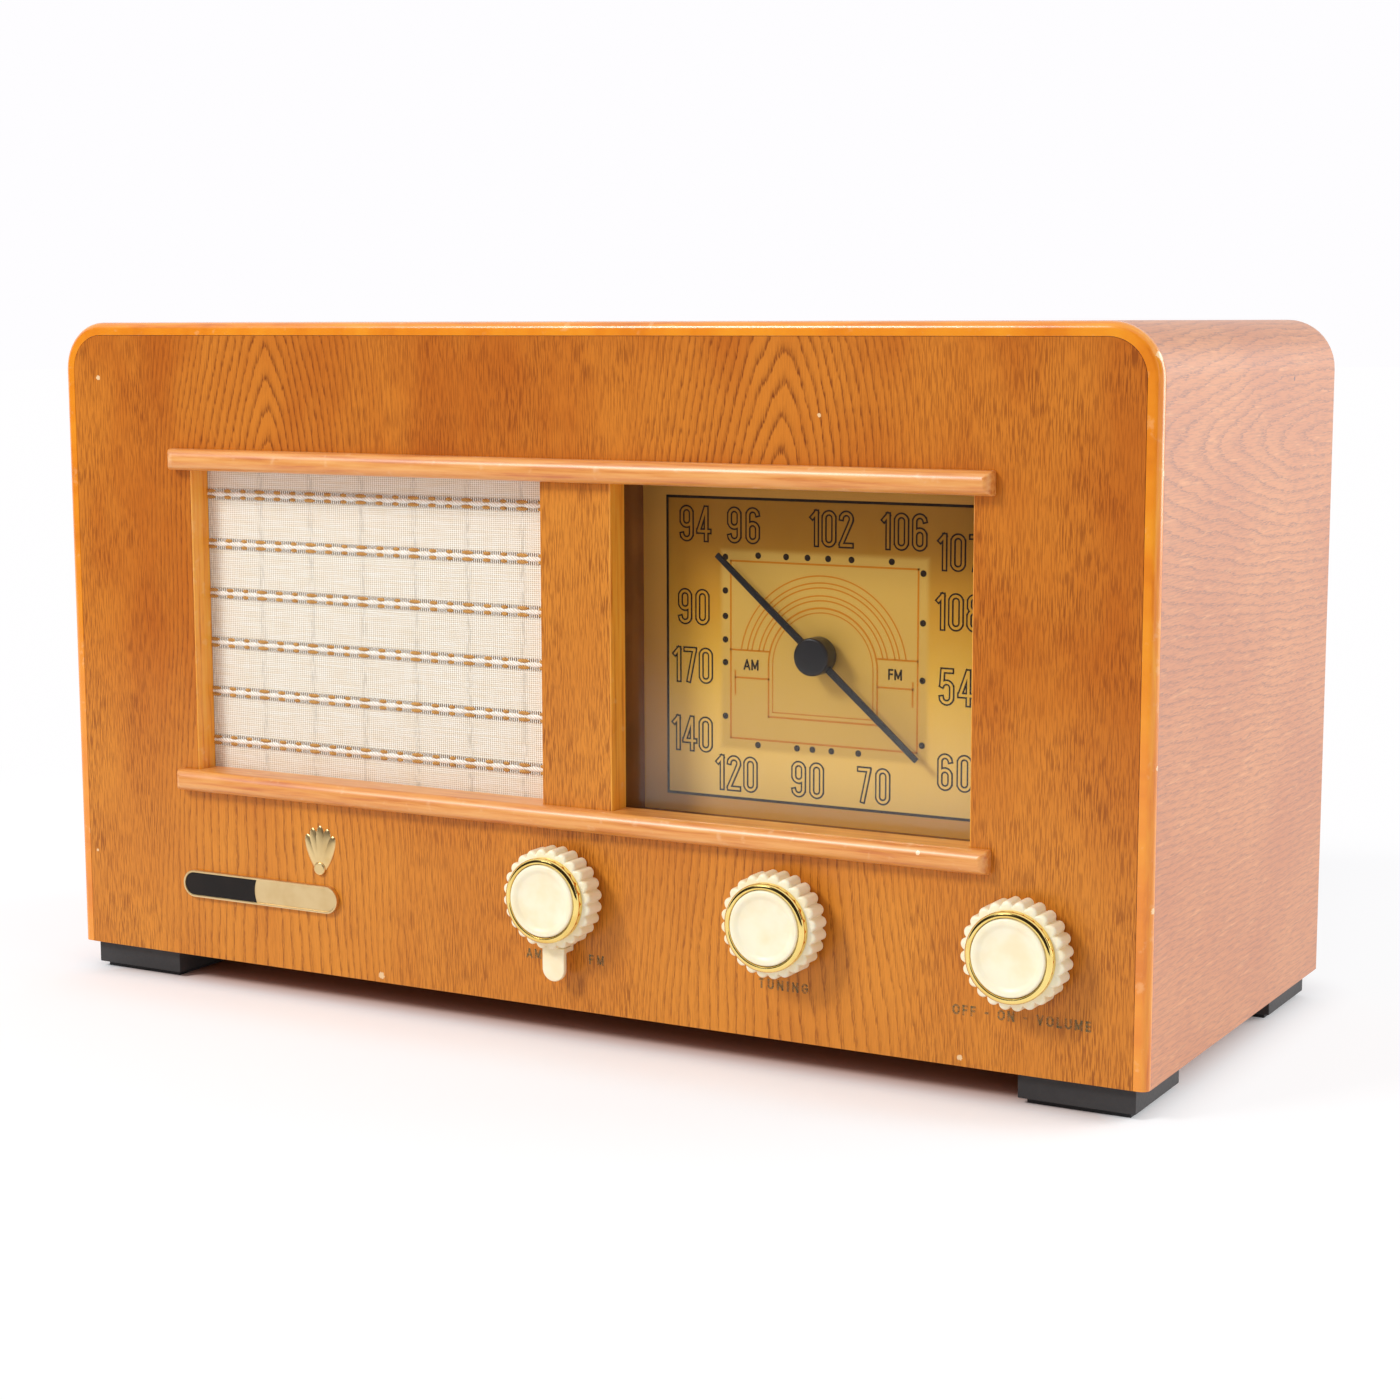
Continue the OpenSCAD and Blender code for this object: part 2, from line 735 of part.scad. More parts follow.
// Half-round roll inside the frame's bore, and the spider behind the cone
module speaker_suspension() {
    y = speaker_y + speaker_t;
    mid = speaker_bore / 2 - board_gap - roll_r;
    spider_r = basket_end - 0.5;
    spider_foot = spider_r - 1.5;
    coil_r = coil_d / 2 + edge_gap;
    color("#2d2a28") placed() at(grille_x, opening_mid) {
        rotate([-90, 0, 0]) rotate_extrude() intersection() {
            translate([mid, y]) difference() {
                circle(roll_r);
                circle(roll_r - roll_t);
            }
            translate([mid - roll_r, y - roll_r]) square([2 * roll_r, roll_r]);
        }
        turned([[coil_r, spider_y], [spider_r, spider_y], [spider_r, magnet_y - speaker_t],
                [spider_foot, magnet_y - speaker_t], [spider_foot, spider_y + spider_t],
                [coil_r, spider_y + spider_t]]);
    }
}

// Cone, its dust dome and the voice coil's former
module speaker_cone() {
    coil_r = coil_d / 2;
    former_r = coil_r - 0.4;
    coil_end = magnet_y + yoke_t;
    dome_y = cone_end - 3;
    dome_rise = 4;
    color("#3b3733") placed() at(grille_x, opening_mid)
        turned([[cone_r, speaker_y], [cone_r, speaker_y + cone_t], [coil_r, cone_end], [coil_r, coil_end],
                [former_r, coil_end], [former_r, dome_y], [0, dome_y - dome_rise],
                [0, dome_y - dome_rise - cone_t], [coil_r, dome_y - cone_t]]);
}

module speaker_magnet() {
    color("#3a3a3e") placed() at(grille_x, opening_mid)
        tube(magnet_y + yoke_t, magnet_t, magnet_d, gap_d + 8);
}

module speaker_yoke() {
    color("#c9c3a4") placed() at(grille_x, opening_mid) {
        tube(magnet_y, yoke_t, magnet_d, gap_d);
        bar(magnet_y + yoke_t + magnet_t, yoke_t, magnet_d);
        bar(magnet_y, yoke_t + magnet_t, pole_d);
    }
}

module dial_glass() {
    color([0.85, 0.9, 0.92, 0.3]) placed() at(dial_x, opening_mid) slab(glass_y, glass_t)
        plate(dial_out_w, dial_out_h);
}

module dial_frame() {
    color("#3b2416") placed() difference() {
        union() {
            at(dial_x, opening_mid) slab(frame_y, dial_depth) difference() {
                plate(dial_out_w, dial_out_h);
                plate(dial_in_w, dial_in_h);
            }
            for (p = frame_screws()) at(p.x, p.y) {
                slab(glass_y, glass_t + lug_t) plate(lug_w, lug_l - 2 * board_gap);
                slab(frame_y, lug_t) plate(lug_w, lug_l + 2 * board_gap);
            }
        }
        for (p = frame_screws()) at(p.x, p.y)
            bar(glass_y - cut, glass_t + lug_t + 2 * cut, screw_d + 2 * screw_gap);
        for (s = [-1, 1]) translate([dial_x + s * lamp_x, lamp_y, opening_mid + dial_in_h / 2 - cut])
            cylinder(h = dial_wall + 2 * cut, d = bulb_d + 2 * screw_gap);
    }
}

module dial_plate() {
    color("#c8a24a") placed() difference() {
        at(dial_x, opening_mid) slab(plate_y, plate_t) plate(dial_out_w, dial_out_h);
        at(dial_x, dial_z) bar(plate_y - cut, plate_t + 2 * cut, shaft_d + 2);
    }
}

module dial_lamps() {
    low = lamp_z - dial_wall - bulb_out;
    color("#fff0c0") placed() for (s = [-1, 1]) translate([dial_x + s * lamp_x, lamp_y, low]) {
        cylinder(h = dial_wall + bulb_out + bulb_in, d = bulb_d);
        sphere(d = bulb_d);
    }
}

module lamp_holders() {
    color("#e8e4d8") placed() for (s = [-1, 1]) translate([dial_x + s * lamp_x, lamp_y, lamp_z])
        difference() {
            cylinder(h = holder_h, d = holder_d);
            translate([0, 0, -cut]) cylinder(h = bulb_in + screw_gap + cut, d = bulb_d + 2 * screw_gap);
        }
}

module pointer() {
    tip = 0.75 * needle_w;
    color("#141416") placed() at(dial_x, dial_z) difference() {
        union() {
            rotate([0, -needle_angle, 0]) slab(hub_y + hub_l / 2 - needle_t / 2, needle_t)
                polygon([[-needle_l, -tip / 2], [0, -needle_w / 2], [needle_l, -tip / 2],
                         [needle_l, tip / 2], [0, needle_w / 2], [-needle_l, tip / 2]]);
            turned([[0, hub_y], [hub_d / 2 - 1, hub_y], [hub_d / 2, hub_y + 1], [hub_d / 2, hub_y + hub_l],
                    [0, hub_y + hub_l]]);
        }
        bar(hub_y + 1.5, hub_l, shaft_d + 2 * shaft_gap);
    }
}

module pointer_shaft() {
    color(steel) placed() at(dial_x, dial_z) bar(hub_y + 1.6, shaft_end - hub_y - 1.6, shaft_d);
}

module drive_drum() {
    y0 = drive_y - drum_w / 2;
    rim_r = drum_d / 2 + drum_rim;
    groove = drum_d / 2;
    hub_r = shaft_d / 2 + 3;
    color("#e9e2d0") placed() at(dial_x, dial_z) difference() {
        turned([[shaft_d / 2 + shaft_gap, y0 - 1.5], [hub_r, y0 - 1.5], [hub_r, drive_y - 1],
                [groove - 2, drive_y - 1], [groove - 2, y0], [rim_r, y0],
                [rim_r, drive_y - groove_w / 2 - 0.6], [groove, drive_y - groove_w / 2],
                [groove, drive_y + groove_w / 2], [rim_r, drive_y + groove_w / 2 + 0.6],
                [rim_r, y0 + drum_w], [groove - 2, y0 + drum_w], [groove - 2, drive_y + 1],
                [hub_r, drive_y + 1], [hub_r, y0 + drum_w + 1.5],
                [shaft_d / 2 + shaft_gap, y0 + drum_w + 1.5]]);
        for (i = [0 : 4]) rotate([0, 72 * i, 0]) at((hub_r + groove - 2) / 2, 0)
            bar(y0, drum_w, (groove - 2 - hub_r) * 0.7);
    }
}

// Route of the drive cord in the front view: round the drum, then round the spindle.
// Each entry is [x, z, outward angle]; the straight runs lie between the two arcs.
cord_lean = asin((drum_run - spindle_run) / (dial_z - knob_z));
cord_route = concat(
    [for (i = [0 : 36]) let (a = -cord_lean + (180 + 2 * cord_lean) * i / 36)
        [dial_x + drum_run * cos(a), dial_z + drum_run * sin(a), a]],
    [for (i = [0 : 16]) let (a = 180 + cord_lean + (180 - 2 * cord_lean) * i / 16)
        [dial_x + spindle_run * cos(a), knob_z + spindle_run * sin(a), a]]);

// Closed tube of eight sides along the route
module drive_cord() {
    sides = 8;
    n = len(cord_route);
    points = [for (p = cord_route, k = [0 : sides - 1]) let (b = 360 * k / sides, r = cord_d / 2)
        [p[0] + r * cos(b) * cos(p[2]), drive_y + r * sin(b), p[1] + r * cos(b) * sin(p[2])]];
    faces = [for (i = [0 : n - 1], k = [0 : sides - 1], half = [0, 1])
        let (j = (i + 1) % n, m = (k + 1) % sides)
        half == 0 ? [i * sides + k, j * sides + k, j * sides + m]
                  : [i * sides + k, j * sides + m, i * sides + m]];
    color("#d8c9a0") placed() polyhedron(points, faces);
}

module tuning_bracket() {
    top = dial_z + cap_w / 2 + 4;
    toe = 9;
    brace_h = standoff_h + 20;
    color(steel) placed() translate([dial_x - bracket_w / 2, 0, chassis_top]) difference() {
        union() {
            translate([0, bracket_y, 0]) cube([bracket_w, sheet_t, top - chassis_top]);
            translate([0, bracket_y - toe, 0]) cube([bracket_w, toe + sheet_t, sheet_t]);
            for (x = [0, bracket_w - sheet_t]) translate([x, bracket_y, 0])
                cube([sheet_t, board_y - bracket_y - 1, brace_h]);
        }
        translate([bracket_w / 2, 0, dial_z - chassis_top])
            bar(bracket_y - cut, sheet_t + 2 * cut, shaft_d + 4);
    }
}

module capacitor_frame() {
    color("#c4c6c9") placed() at(dial_x, dial_z) difference() {
        union() {
            slab(cap_y, sheet_t) plate(cap_w, cap_w);
            slab(cap_y + cap_l - sheet_t, sheet_t) plate(cap_w, cap_w);
            translate([-cap_w / 2, cap_y, -cap_w / 2]) cube([cap_w, cap_l, sheet_t]);
        }
        bar(cap_y - cut, cap_l + 2 * cut, shaft_d + 2 * shaft_gap);
    }
}

module capacitor_stator() {
    rod = 2.4;
    color("#dfe1e3") placed() at(dial_x, dial_z) {
        for (i = [0 : vane_n - 2]) slab(vane_y + (i + 1) * vane_pitch - vane_t / 2, vane_t) difference() {
            translate([-stator_x, -vane_r]) square([2 * stator_x, vane_r]);
            circle(d = rotor_hub + 3);
        }
        for (s = [-1, 1]) at(s * (stator_x - rod / 2), -rod / 2)
            bar(cap_y + sheet_t, cap_l - 2 * sheet_t, rod);
    }
}

module capacitor_rotor() {
    color("#eceded") placed() at(dial_x, dial_z) difference() {
        union() {
            for (i = [0 : vane_n - 1]) slab(vane_y + (i + 0.5) * vane_pitch - vane_t / 2, vane_t)
                rotate(180 - needle_angle) intersection() {
                    circle(vane_r);
                    translate([-vane_r, 0]) square([2 * vane_r, vane_r]);
                }
            bar(vane_y, vane_n * vane_pitch, rotor_hub);
        }
        bar(vane_y - cut, vane_n * vane_pitch + 2 * cut, shaft_d + 2 * shaft_gap);
    }
}

// Ribbed knob: skirt with ribs, face inside the ring, bore for its shaft
module knob(bore) {
    front = -knob_gap - skirt_l;
    rib_run = knob_d / 2 - rib_d / 2;
    rib_valley = 0.2;
    front_wall = 1;
    skirt_floor = 3;
    skirt_wall = 4;
    color(cream) difference() {
        union() {
            bar(front, skirt_l, 2 * (rib_run + rib_valley));
            for (i = [0 : rib_n - 1]) at(rib_run * cos(360 * i / rib_n), rib_run * sin(360 * i / rib_n))
                bar(front, skirt_l, rib_d);
            bar(front - ring_l - face_proud, ring_l + face_proud + cut, face_d);
        }
        bar(front + front_wall, skirt_l, bore);
        tube(front + skirt_floor, skirt_l, knob_d - 2 * skirt_wall, bore + 6);
    }
}

module knob_ring() {
    front = -knob_gap - skirt_l;
    r0 = face_d / 2 + screw_gap;
    r1 = ring_d / 2;
    edge = (r1 - r0) / 2;
    color(gold) rotate([-90, 0, 0]) rotate_extrude() {
        translate([r0, front - ring_l + edge]) square([r1 - r0, ring_l - edge]);
        translate([(r0 + r1) / 2, front - ring_l + edge]) circle(edge);
    }
}

module tone_knob() {
    placed() at(tone_x, knob_z) knob(shaft_d + 2 * shaft_gap);
}

module tone_knob_ring() {
    placed() at(tone_x, knob_z) knob_ring();
}

module tone_shaft() {
    color(steel) placed() at(tone_x, knob_z)
        bar(shaft_front, tone_pot_y + pot_l / 2 - shaft_front, shaft_d);
}

// Strip of solder tags above a potentiometer
module tag_strip(y) {
    slab(y, tag_t) translate([0, pot_d / 2 + tag_h / 4]) plate(tag_w, tag_h);
}

module tone_potentiometer() {
    color("#4c4640") placed() at(tone_x, knob_z) {
        difference() {
            bar(tone_pot_y, pot_l, pot_d);
            bar(tone_pot_y - cut, shaft_blind + cut, shaft_d + 2 * shaft_gap);
        }
        tag_strip(tone_pot_y);
    }
}

// Lever behind the knob: disc on the sleeve, arm down, step forward, rounded tab
module band_lever() {
    tab_z = lever_w / 2 - lever_l;
    step_z = -knob_d / 2 - lever_step;
    color(cream) placed() at(tone_x, knob_z) difference() {
        union() {
            bar(lever_y, lever_t, lever_hub);
            translate([-lever_w / 2, lever_y, step_z]) cube([lever_w, lever_t, -step_z]);
            translate([-lever_w / 2, -lever_proud, step_z])
                cube([lever_w, lever_proud + lever_y + lever_t, lever_t]);
            translate([-lever_w / 2, -lever_proud, tab_z]) cube([lever_w, lever_t, step_z + lever_t - tab_z]);
            at(0, tab_z) bar(-lever_proud, lever_t, lever_w);
        }
        bar(lever_y - cut, lever_t + 2 * cut, sleeve_d + 2 * shaft_gap);
    }
}

module band_sleeve() {
    color(steel) placed() at(tone_x, knob_z)
        tube(lever_y, tone_pot_y - 2 - lever_y, sleeve_d, shaft_d + 2 * shaft_gap);
}

module band_switch() {
    color("#6b4a2c") placed() at(tone_x, knob_z) difference() {
        union() {
            slab(pot_y, switch_l) plate(switch_w, pot_d);
            bar(bushing_y, pot_y - bushing_y + cut, bushing_d);
        }
        bar(bushing_y - cut, tone_pot_y - 1.9 - bushing_y + cut, sleeve_d + 2 * shaft_gap);
        bar(pot_y, switch_l + cut, shaft_d + 2 * shaft_gap);
    }
}

module tuning_knob() {
    placed() at(dial_x, knob_z) knob(shaft_d + 2 * shaft_gap);
}

module tuning_knob_ring() {
    placed() at(dial_x, knob_z) knob_ring();
}

module tuning_spindle() {
    y1 = spindle_y + spindle_w;
    color(steel) placed() at(dial_x, knob_z) {
        bar(shaft_front, spindle_y - shaft_front, shaft_d);
        turned([[0, spindle_y - cut], [shaft_d / 2, spindle_y - cut], [shaft_d / 2, spindle_y],
                [spindle_rim / 2, spindle_y], [spindle_rim / 2, drive_y - groove_w / 2 - 1],
                [spindle_groove / 2, drive_y - groove_w / 2], [spindle_groove / 2, drive_y + groove_w / 2],
                [spindle_rim / 2, drive_y + groove_w / 2 + 1], [spindle_rim / 2, y1], [0, y1]]);
    }
}

module tuning_bush() {
    color("#c8a85a") placed() at(dial_x, knob_z) difference() {
        union() {
            bar(bushing_y, pot_y - bushing_y + cut, bushing_d);
            bar(pot_y, bush_end - pot_y, bushing_d + 4);
        }
        bar(bushing_y - cut, bush_end - bushing_y + 2 * cut, shaft_d + 2 * shaft_gap);
    }
}

module volume_knob() {
    placed() at(volume_x, knob_z) knob(shaft_d + 2 * shaft_gap);
}

module volume_knob_ring() {
    placed() at(volume_x, knob_z) knob_ring();
}

module volume_shaft() {
    color(steel) placed() at(volume_x, knob_z) bar(shaft_front, pot_y + pot_l / 2 - shaft_front, shaft_d);
}

// Potentiometer with the mains switch on its back
module volume_potentiometer() {
    mains_switch_l = 8;
    color("#4c4640") placed() at(volume_x, knob_z) {
        difference() {
            union() {
                bar(pot_y, pot_l, pot_d);
                bar(pot_y + pot_l, mains_switch_l, pot_d - 4);
                bar(bushing_y, pot_y - bushing_y + cut, bushing_d);
            }
            bar(bushing_y - cut, pot_y + shaft_blind - bushing_y + cut, shaft_d + 2 * shaft_gap);
        }
        tag_strip(pot_y);
    }
}

// Hexagon nut along Y round a bushing
module control_nuts() {
    color("#c8a85a") placed() for (x = [tone_x, dial_x, volume_x]) at(x, knob_z) difference() {
        translate([0, chassis_y, 0]) rotate([90, 0, 0]) cylinder(h = nut_t, d = nut_w / cos(30), $fn = 6);
        bar(chassis_y - nut_t - cut, nut_t + 2 * cut, bushing_d + 2 * shaft_gap);
    }
}

module chassis() {
    w = chassis_x1 - chassis_x0;
    color(steel) placed() difference() {
        union() {
            translate([chassis_x0, chassis_y, bottom_t]) cube([w, chassis_d, sheet_t]);
            translate([chassis_x0, chassis_y, bottom_t]) cube([w, sheet_t, flange_top - bottom_t]);
            translate([chassis_x0, chassis_y + chassis_d - sheet_t, bottom_t]) cube([w, sheet_t, standoff_h]);
        }
        for (x = [tone_x, dial_x, volume_x]) at(x, knob_z)
            bar(chassis_y - cut, sheet_t + 2 * cut, bushing_d + 2 * shaft_gap);
        for (p = chassis_screws()) translate([p.x, p.y, bottom_t - cut])
            cylinder(h = sheet_t + 2 * cut, d = screw_d + 2 * screw_gap);
    }
}

module circuit_board() {
    color("#7d6a2e") placed() {
        translate([chassis_mid - board_w / 2, board_y, board_z]) cube([board_w, board_d, board_t]);
        for (sx = [-1, 1], sy = [0, 1])
            translate([chassis_mid + sx * (board_w / 2 - 8), board_y + 8 + sy * (board_d - 16), chassis_top])
                cylinder(h = standoff_h, d = standoff_d);
    }
}

module coil_cans() {
    color("#c9ccd0") placed() for (i = [0 : can_n - 1])
        translate([chassis_mid - 10 - i * (can_w + 8), parts_y, board_top]) {
            translate([-can_w / 2, -can_w / 2, 0]) cube([can_w, can_w, can_h]);
            translate([0, 0, can_h - cut]) cylinder(h = 1.4, d = can_w / 2);
        }
}

module filter_capacitors() {
    color("#2c4a7c") placed() for (i = [0 : 2])
        translate([chassis_mid + 28 + i * (filter_d + 4), parts_y, board_top]) difference() {
            cylinder(h = filter_h, d = filter_d);
            for (a = [0, 90]) rotate([0, 0, a]) translate([-filter_d / 2, -0.3, filter_h - 0.5])
                cube([filter_d, 0.6, 1]);
        }
}

module ferrite_aerial() {
    coil_l = 26;
    color("#4a4440") placed() translate([chassis_mid, rod_y, rod_z]) rotate([0, 90, 0]) {
        translate([0, 0, -rod_l / 2]) cylinder(h = rod_l, d = rod_d);
        for (s = [-1, 1]) translate([0, 0, s * rod_l / 5 - coil_l / 2]) cylinder(h = coil_l, d = rod_d + 3);
    }
}

module rod_clips() {
    w = 8;
    wall = 3;
    color("#e6e0d0") placed() for (s = [-1, 1]) translate([chassis_mid + s * clip_x, rod_y, 0])
        difference() {
            translate([-w / 2, -rod_d / 2 - wall, board_top])
                cube([w, rod_d + 2 * wall, rod_z - board_top + rod_d / 2 + wall - 1]);
            translate([-w / 2 - cut, 0, rod_z]) rotate([0, 90, 0])
                cylinder(h = w + 2 * cut, d = rod_d + 2 * screw_gap);
        }
}

// Laminated core: two windows, three limbs, and feet at its base
module transformer_core() {
    window = (core_w - 4 * limb_w) / 2;
    color("#5a5d63") placed() {
        translate([core_x, 0, bottom_t]) slab(core_y - core_t / 2, core_t) difference() {
            translate([-core_w / 2, 0]) square([core_w, core_h]);
            for (s = [-1, 1]) translate([s * (limb_w + window / 2) - window / 2, limb_w])
                square([window, core_h - 2 * limb_w]);
        }
        difference() {
            translate([core_x - core_w / 2 - core_foot, core_y - core_t / 2, bottom_t])
                cube([core_w + 2 * core_foot, core_t, sheet_t]);
            for (p = core_screws()) translate([p.x, p.y, bottom_t - cut])
                cylinder(h = sheet_t + 2 * cut, d = screw_d + 2 * screw_gap);
        }
    }
}

module transformer_coil() {
    gap = 0.3;
    side = core_w / 2 - limb_w - gap;
    color("#b5652a") placed() translate([core_x, 0, bottom_t]) difference() {
        slab(core_y - core_t / 2 - coil_over, core_t + 2 * coil_over)
            translate([-side, limb_w + gap]) square([2 * side, core_h - 2 * limb_w - 2 * gap]);
        slab(core_y - core_t / 2 - gap, core_t + 2 * gap)
            translate([-limb_w - gap, 0]) square([2 * (limb_w + gap), core_h]);
    }
}

// Two-pin inlet set into the back panel
module power_inlet() {
    wall = 2;
    pin_pitch = inlet_w / 2 - 2;
    color(black) placed() at(core_x, socket_z) {
        difference() {
            union() {
                slab(back_y - inlet_l + back_t, inlet_l) plate(inlet_w, inlet_h);
                slab(back_face, inlet_lip) plate(inlet_w + 6, inlet_h + 4);
            }
            slab(back_face - inlet_l + 3, inlet_l + inlet_lip) plate(inlet_w - 2 * wall, inlet_h - 2 * wall);
        }
        for (s = [-1, 1]) at(s * pin_pitch / 2, 0) bar(back_face - inlet_l + 2, inlet_l - 4, 2.4);
    }
}

module aerial_terminals() {
    stud_l = 5;
    washer_t = 2;
    terminal_h = 2.6;
    color("#c9a54c") placed() for (s = [-1, 1]) at(terminal_x + s * terminal_d, socket_z) {
        bar(back_y - stud_l, stud_l + back_t + cut, terminal_d / 2);
        bar(back_y - washer_t, washer_t, terminal_d);
        bar(back_face, terminal_h, terminal_d);
    }
}

// Outline with full-round ends
module pill(w, h) {
    plate(w - h, h);
    for (s = [-1, 1]) translate([s * (w - h) / 2, 0]) circle(d = h);
}

module name_plate() {
    rim = 0.7;
    left = openings_x - openings_w / 2 - rail_over;
    color(gold) placed() at(left + badge_w / 2, badge_z) difference() {
        slab(-badge_t, badge_t) pill(badge_w, badge_h);
        slab(-badge_t - cut, 0.4 + cut) pill(badge_w - 2 * rim, badge_h - 2 * rim);
    }
}

// Plain fan ornament: five round-topped flutes on a base bar
module emblem() {
    flute = emblem_w / 5;
    left = openings_x - openings_w / 2 - rail_over;
    low = badge_z + badge_h / 2 + 3;
    color(gold) placed() at(left + badge_w - emblem_w / 2 - 1.4, low) {
        slab(-badge_t, badge_t) translate([-emblem_w / 2, 0]) square([emblem_w, 2]);
        for (i = [-2 : 2]) {
            top = emblem_h - flute / 2 - abs(i) * emblem_h / 7;
            slab(-badge_t, badge_t) translate([i * flute - flute / 2, 1]) square([flute, top - 1]);
            at(i * flute, top) bar(-badge_t, badge_t, flute);
        }
    }
}

cabinet_shell();
bottom_board();
front_panel();
front_edge_band();
upper_rail();
lower_rail();
back_panel();
back_screws();
feet();
foot_pads();
wood_screws();
speaker_baffle();
grille_cloth();
speaker_frame();
speaker_suspension();
speaker_cone();
speaker_magnet();
speaker_yoke();
dial_glass();
dial_frame();
dial_plate();
dial_lamps();
lamp_holders();
pointer();
pointer_shaft();
drive_drum();
drive_cord();
tuning_bracket();
capacitor_frame();
capacitor_stator();
capacitor_rotor();
tone_knob();
tone_knob_ring();
tone_shaft();
tone_potentiometer();
band_lever();
band_sleeve();
band_switch();
tuning_knob();
tuning_knob_ring();
tuning_spindle();
tuning_bush();
volume_knob();
volume_knob_ring();
volume_shaft();
volume_potentiometer();
control_nuts();
chassis();
circuit_board();
coil_cans();
filter_capacitors();
ferrite_aerial();
rod_clips();
transformer_core();
transformer_coil();
power_inlet();
aerial_terminals();
name_plate();
emblem();
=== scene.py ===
import math
import bmesh
import bpy
from mathutils import Matrix, Vector


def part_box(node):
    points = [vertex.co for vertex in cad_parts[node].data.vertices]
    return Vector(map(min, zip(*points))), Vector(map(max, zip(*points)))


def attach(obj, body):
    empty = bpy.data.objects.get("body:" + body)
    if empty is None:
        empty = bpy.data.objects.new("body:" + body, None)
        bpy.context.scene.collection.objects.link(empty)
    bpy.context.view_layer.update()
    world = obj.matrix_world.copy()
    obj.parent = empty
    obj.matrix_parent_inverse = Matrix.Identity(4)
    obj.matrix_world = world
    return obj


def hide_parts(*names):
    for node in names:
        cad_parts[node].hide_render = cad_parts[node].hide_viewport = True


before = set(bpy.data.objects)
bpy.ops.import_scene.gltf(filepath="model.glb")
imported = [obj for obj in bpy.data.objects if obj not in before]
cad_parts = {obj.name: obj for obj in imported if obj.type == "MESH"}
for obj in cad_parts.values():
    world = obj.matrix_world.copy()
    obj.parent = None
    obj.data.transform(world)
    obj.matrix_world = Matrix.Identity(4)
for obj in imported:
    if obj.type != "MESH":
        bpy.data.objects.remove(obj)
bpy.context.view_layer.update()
mm = 0.001
scene = bpy.context.scene
scene.view_settings.view_transform = "Standard"


def middleOf(nodeName):
    return [(low + high) / 2 for low, high in zip(*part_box(nodeName))]


# Planes and levels that several pieces share, all taken from the frame
clothLow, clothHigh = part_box("grille_cloth")
plateLow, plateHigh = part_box("dial_plate")
shellLow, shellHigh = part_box("cabinet_shell")
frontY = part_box("front_panel")[0].y
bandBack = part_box("front_edge_band")[1].y / mm
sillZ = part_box("lower_rail")[1].z
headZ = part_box("upper_rail")[0].z
dialX, unused, dialZ = middleOf("pointer_shaft")
knobX = {name: middleOf(name + "_knob")[0] for name in ("tone", "tuning", "volume")}
knobZ = middleOf("tuning_knob")[2]
facingFront = (math.pi / 2, 0, 0)  # turns a flat or round primitive to face the front
print("frame loaded:", len(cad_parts), "nodes")


# Short ways to pick, edit and finish a piece
def pickOnly(*pieces):
    if bpy.context.object and bpy.context.object.mode != "OBJECT":
        bpy.ops.object.mode_set(mode="OBJECT")
    bpy.ops.object.select_all(action="DESELECT")
    for piece in pieces:
        piece.select_set(True)
    bpy.context.view_layer.objects.active = pieces[0]


def named(name, scale=(1, 1, 1)):
    # Names and sizes the new primitive, and moves its place into its mesh
    piece = bpy.context.object
    piece.name = name
    piece.data.name = name
    piece.scale = scale
    pickOnly(piece)
    bpy.ops.object.transform_apply(location=True, rotation=True, scale=True)
    return piece


def addDisc(name, radius, depth, place, vertices=96):
    bpy.ops.mesh.primitive_cylinder_add(
        vertices=vertices, radius=radius, depth=depth, location=place, rotation=facingFront)
    return named(name)


def openEdit(piece, kind="VERT", test=None):
    # Opens the piece for editing, with only the parts picked that pass the test
    pickOnly(piece)
    bpy.ops.object.mode_set(mode="EDIT")
    pickParts(piece, kind, test or (lambda part: True))


def pickParts(piece, kind, test):
    bpy.ops.mesh.select_mode(type=kind)
    bpy.ops.mesh.select_all(action="DESELECT")
    shape = bmesh.from_edit_mesh(piece.data)
    parts = {"VERT": shape.verts, "EDGE": shape.edges, "FACE": shape.faces}[kind]
    for part in [part for part in parts if test(part)]:
        part.select_set(True)
    shape.select_flush_mode()
    bmesh.update_edit_mesh(piece.data)


def closeEdit():
    bpy.ops.object.mode_set(mode="OBJECT")


def cutOff(piece, place, way):
    # Opens the piece, cuts it away beyond a plane and closes the cut
    openEdit(piece)
    bpy.ops.mesh.bisect(plane_co=place, plane_no=way, clear_outer=True, use_fill=True)


def modify(piece, kind, **settings):
    pickOnly(piece)
    step = piece.modifiers.new(kind.lower(), kind)
    for key, value in settings.items():
        setattr(step, key, value)
    bpy.ops.object.modifier_apply(modifier=step.name)


def repeat(piece, count, x=0.0, z=0.0):
    modify(piece, "ARRAY", count=count, use_relative_offset=False, use_constant_offset=True,
           constant_offset_displace=(x, 0, z))


def smoothShade(piece, angle=35):
    pickOnly(piece)
    bpy.ops.object.shade_smooth_by_angle(angle=math.radians(angle))


def softenEdges(piece, width, segments=2, angle=35):
    modify(piece, "BEVEL", width=width, segments=segments, limit_method="ANGLE",
           angle_limit=math.radians(angle), miter_outer="MITER_ARC")
    smoothShade(piece, 40)
    modify(piece, "WEIGHTED_NORMAL", keep_sharp=True)


def joined(name, *pieces):
    pickOnly(*pieces)
    bpy.ops.object.join()
    return named(name)


def copyOf(nodeName, pieceName):
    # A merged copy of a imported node, with its flat triangles made whole faces
    piece = bpy.data.objects.new(pieceName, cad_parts[nodeName].data.copy())
    piece.data.name = pieceName
    scene.collection.objects.link(piece)
    pickOnly(piece)
    bpy.ops.mesh.customdata_custom_splitnormals_clear()
    bpy.ops.object.mode_set(mode="EDIT")
    bpy.ops.mesh.select_all(action="SELECT")
    bpy.ops.mesh.remove_doubles(threshold=0.002 * mm)
    bpy.ops.mesh.dissolve_limited(angle_limit=math.radians(0.4))
    closeEdit()
    return piece


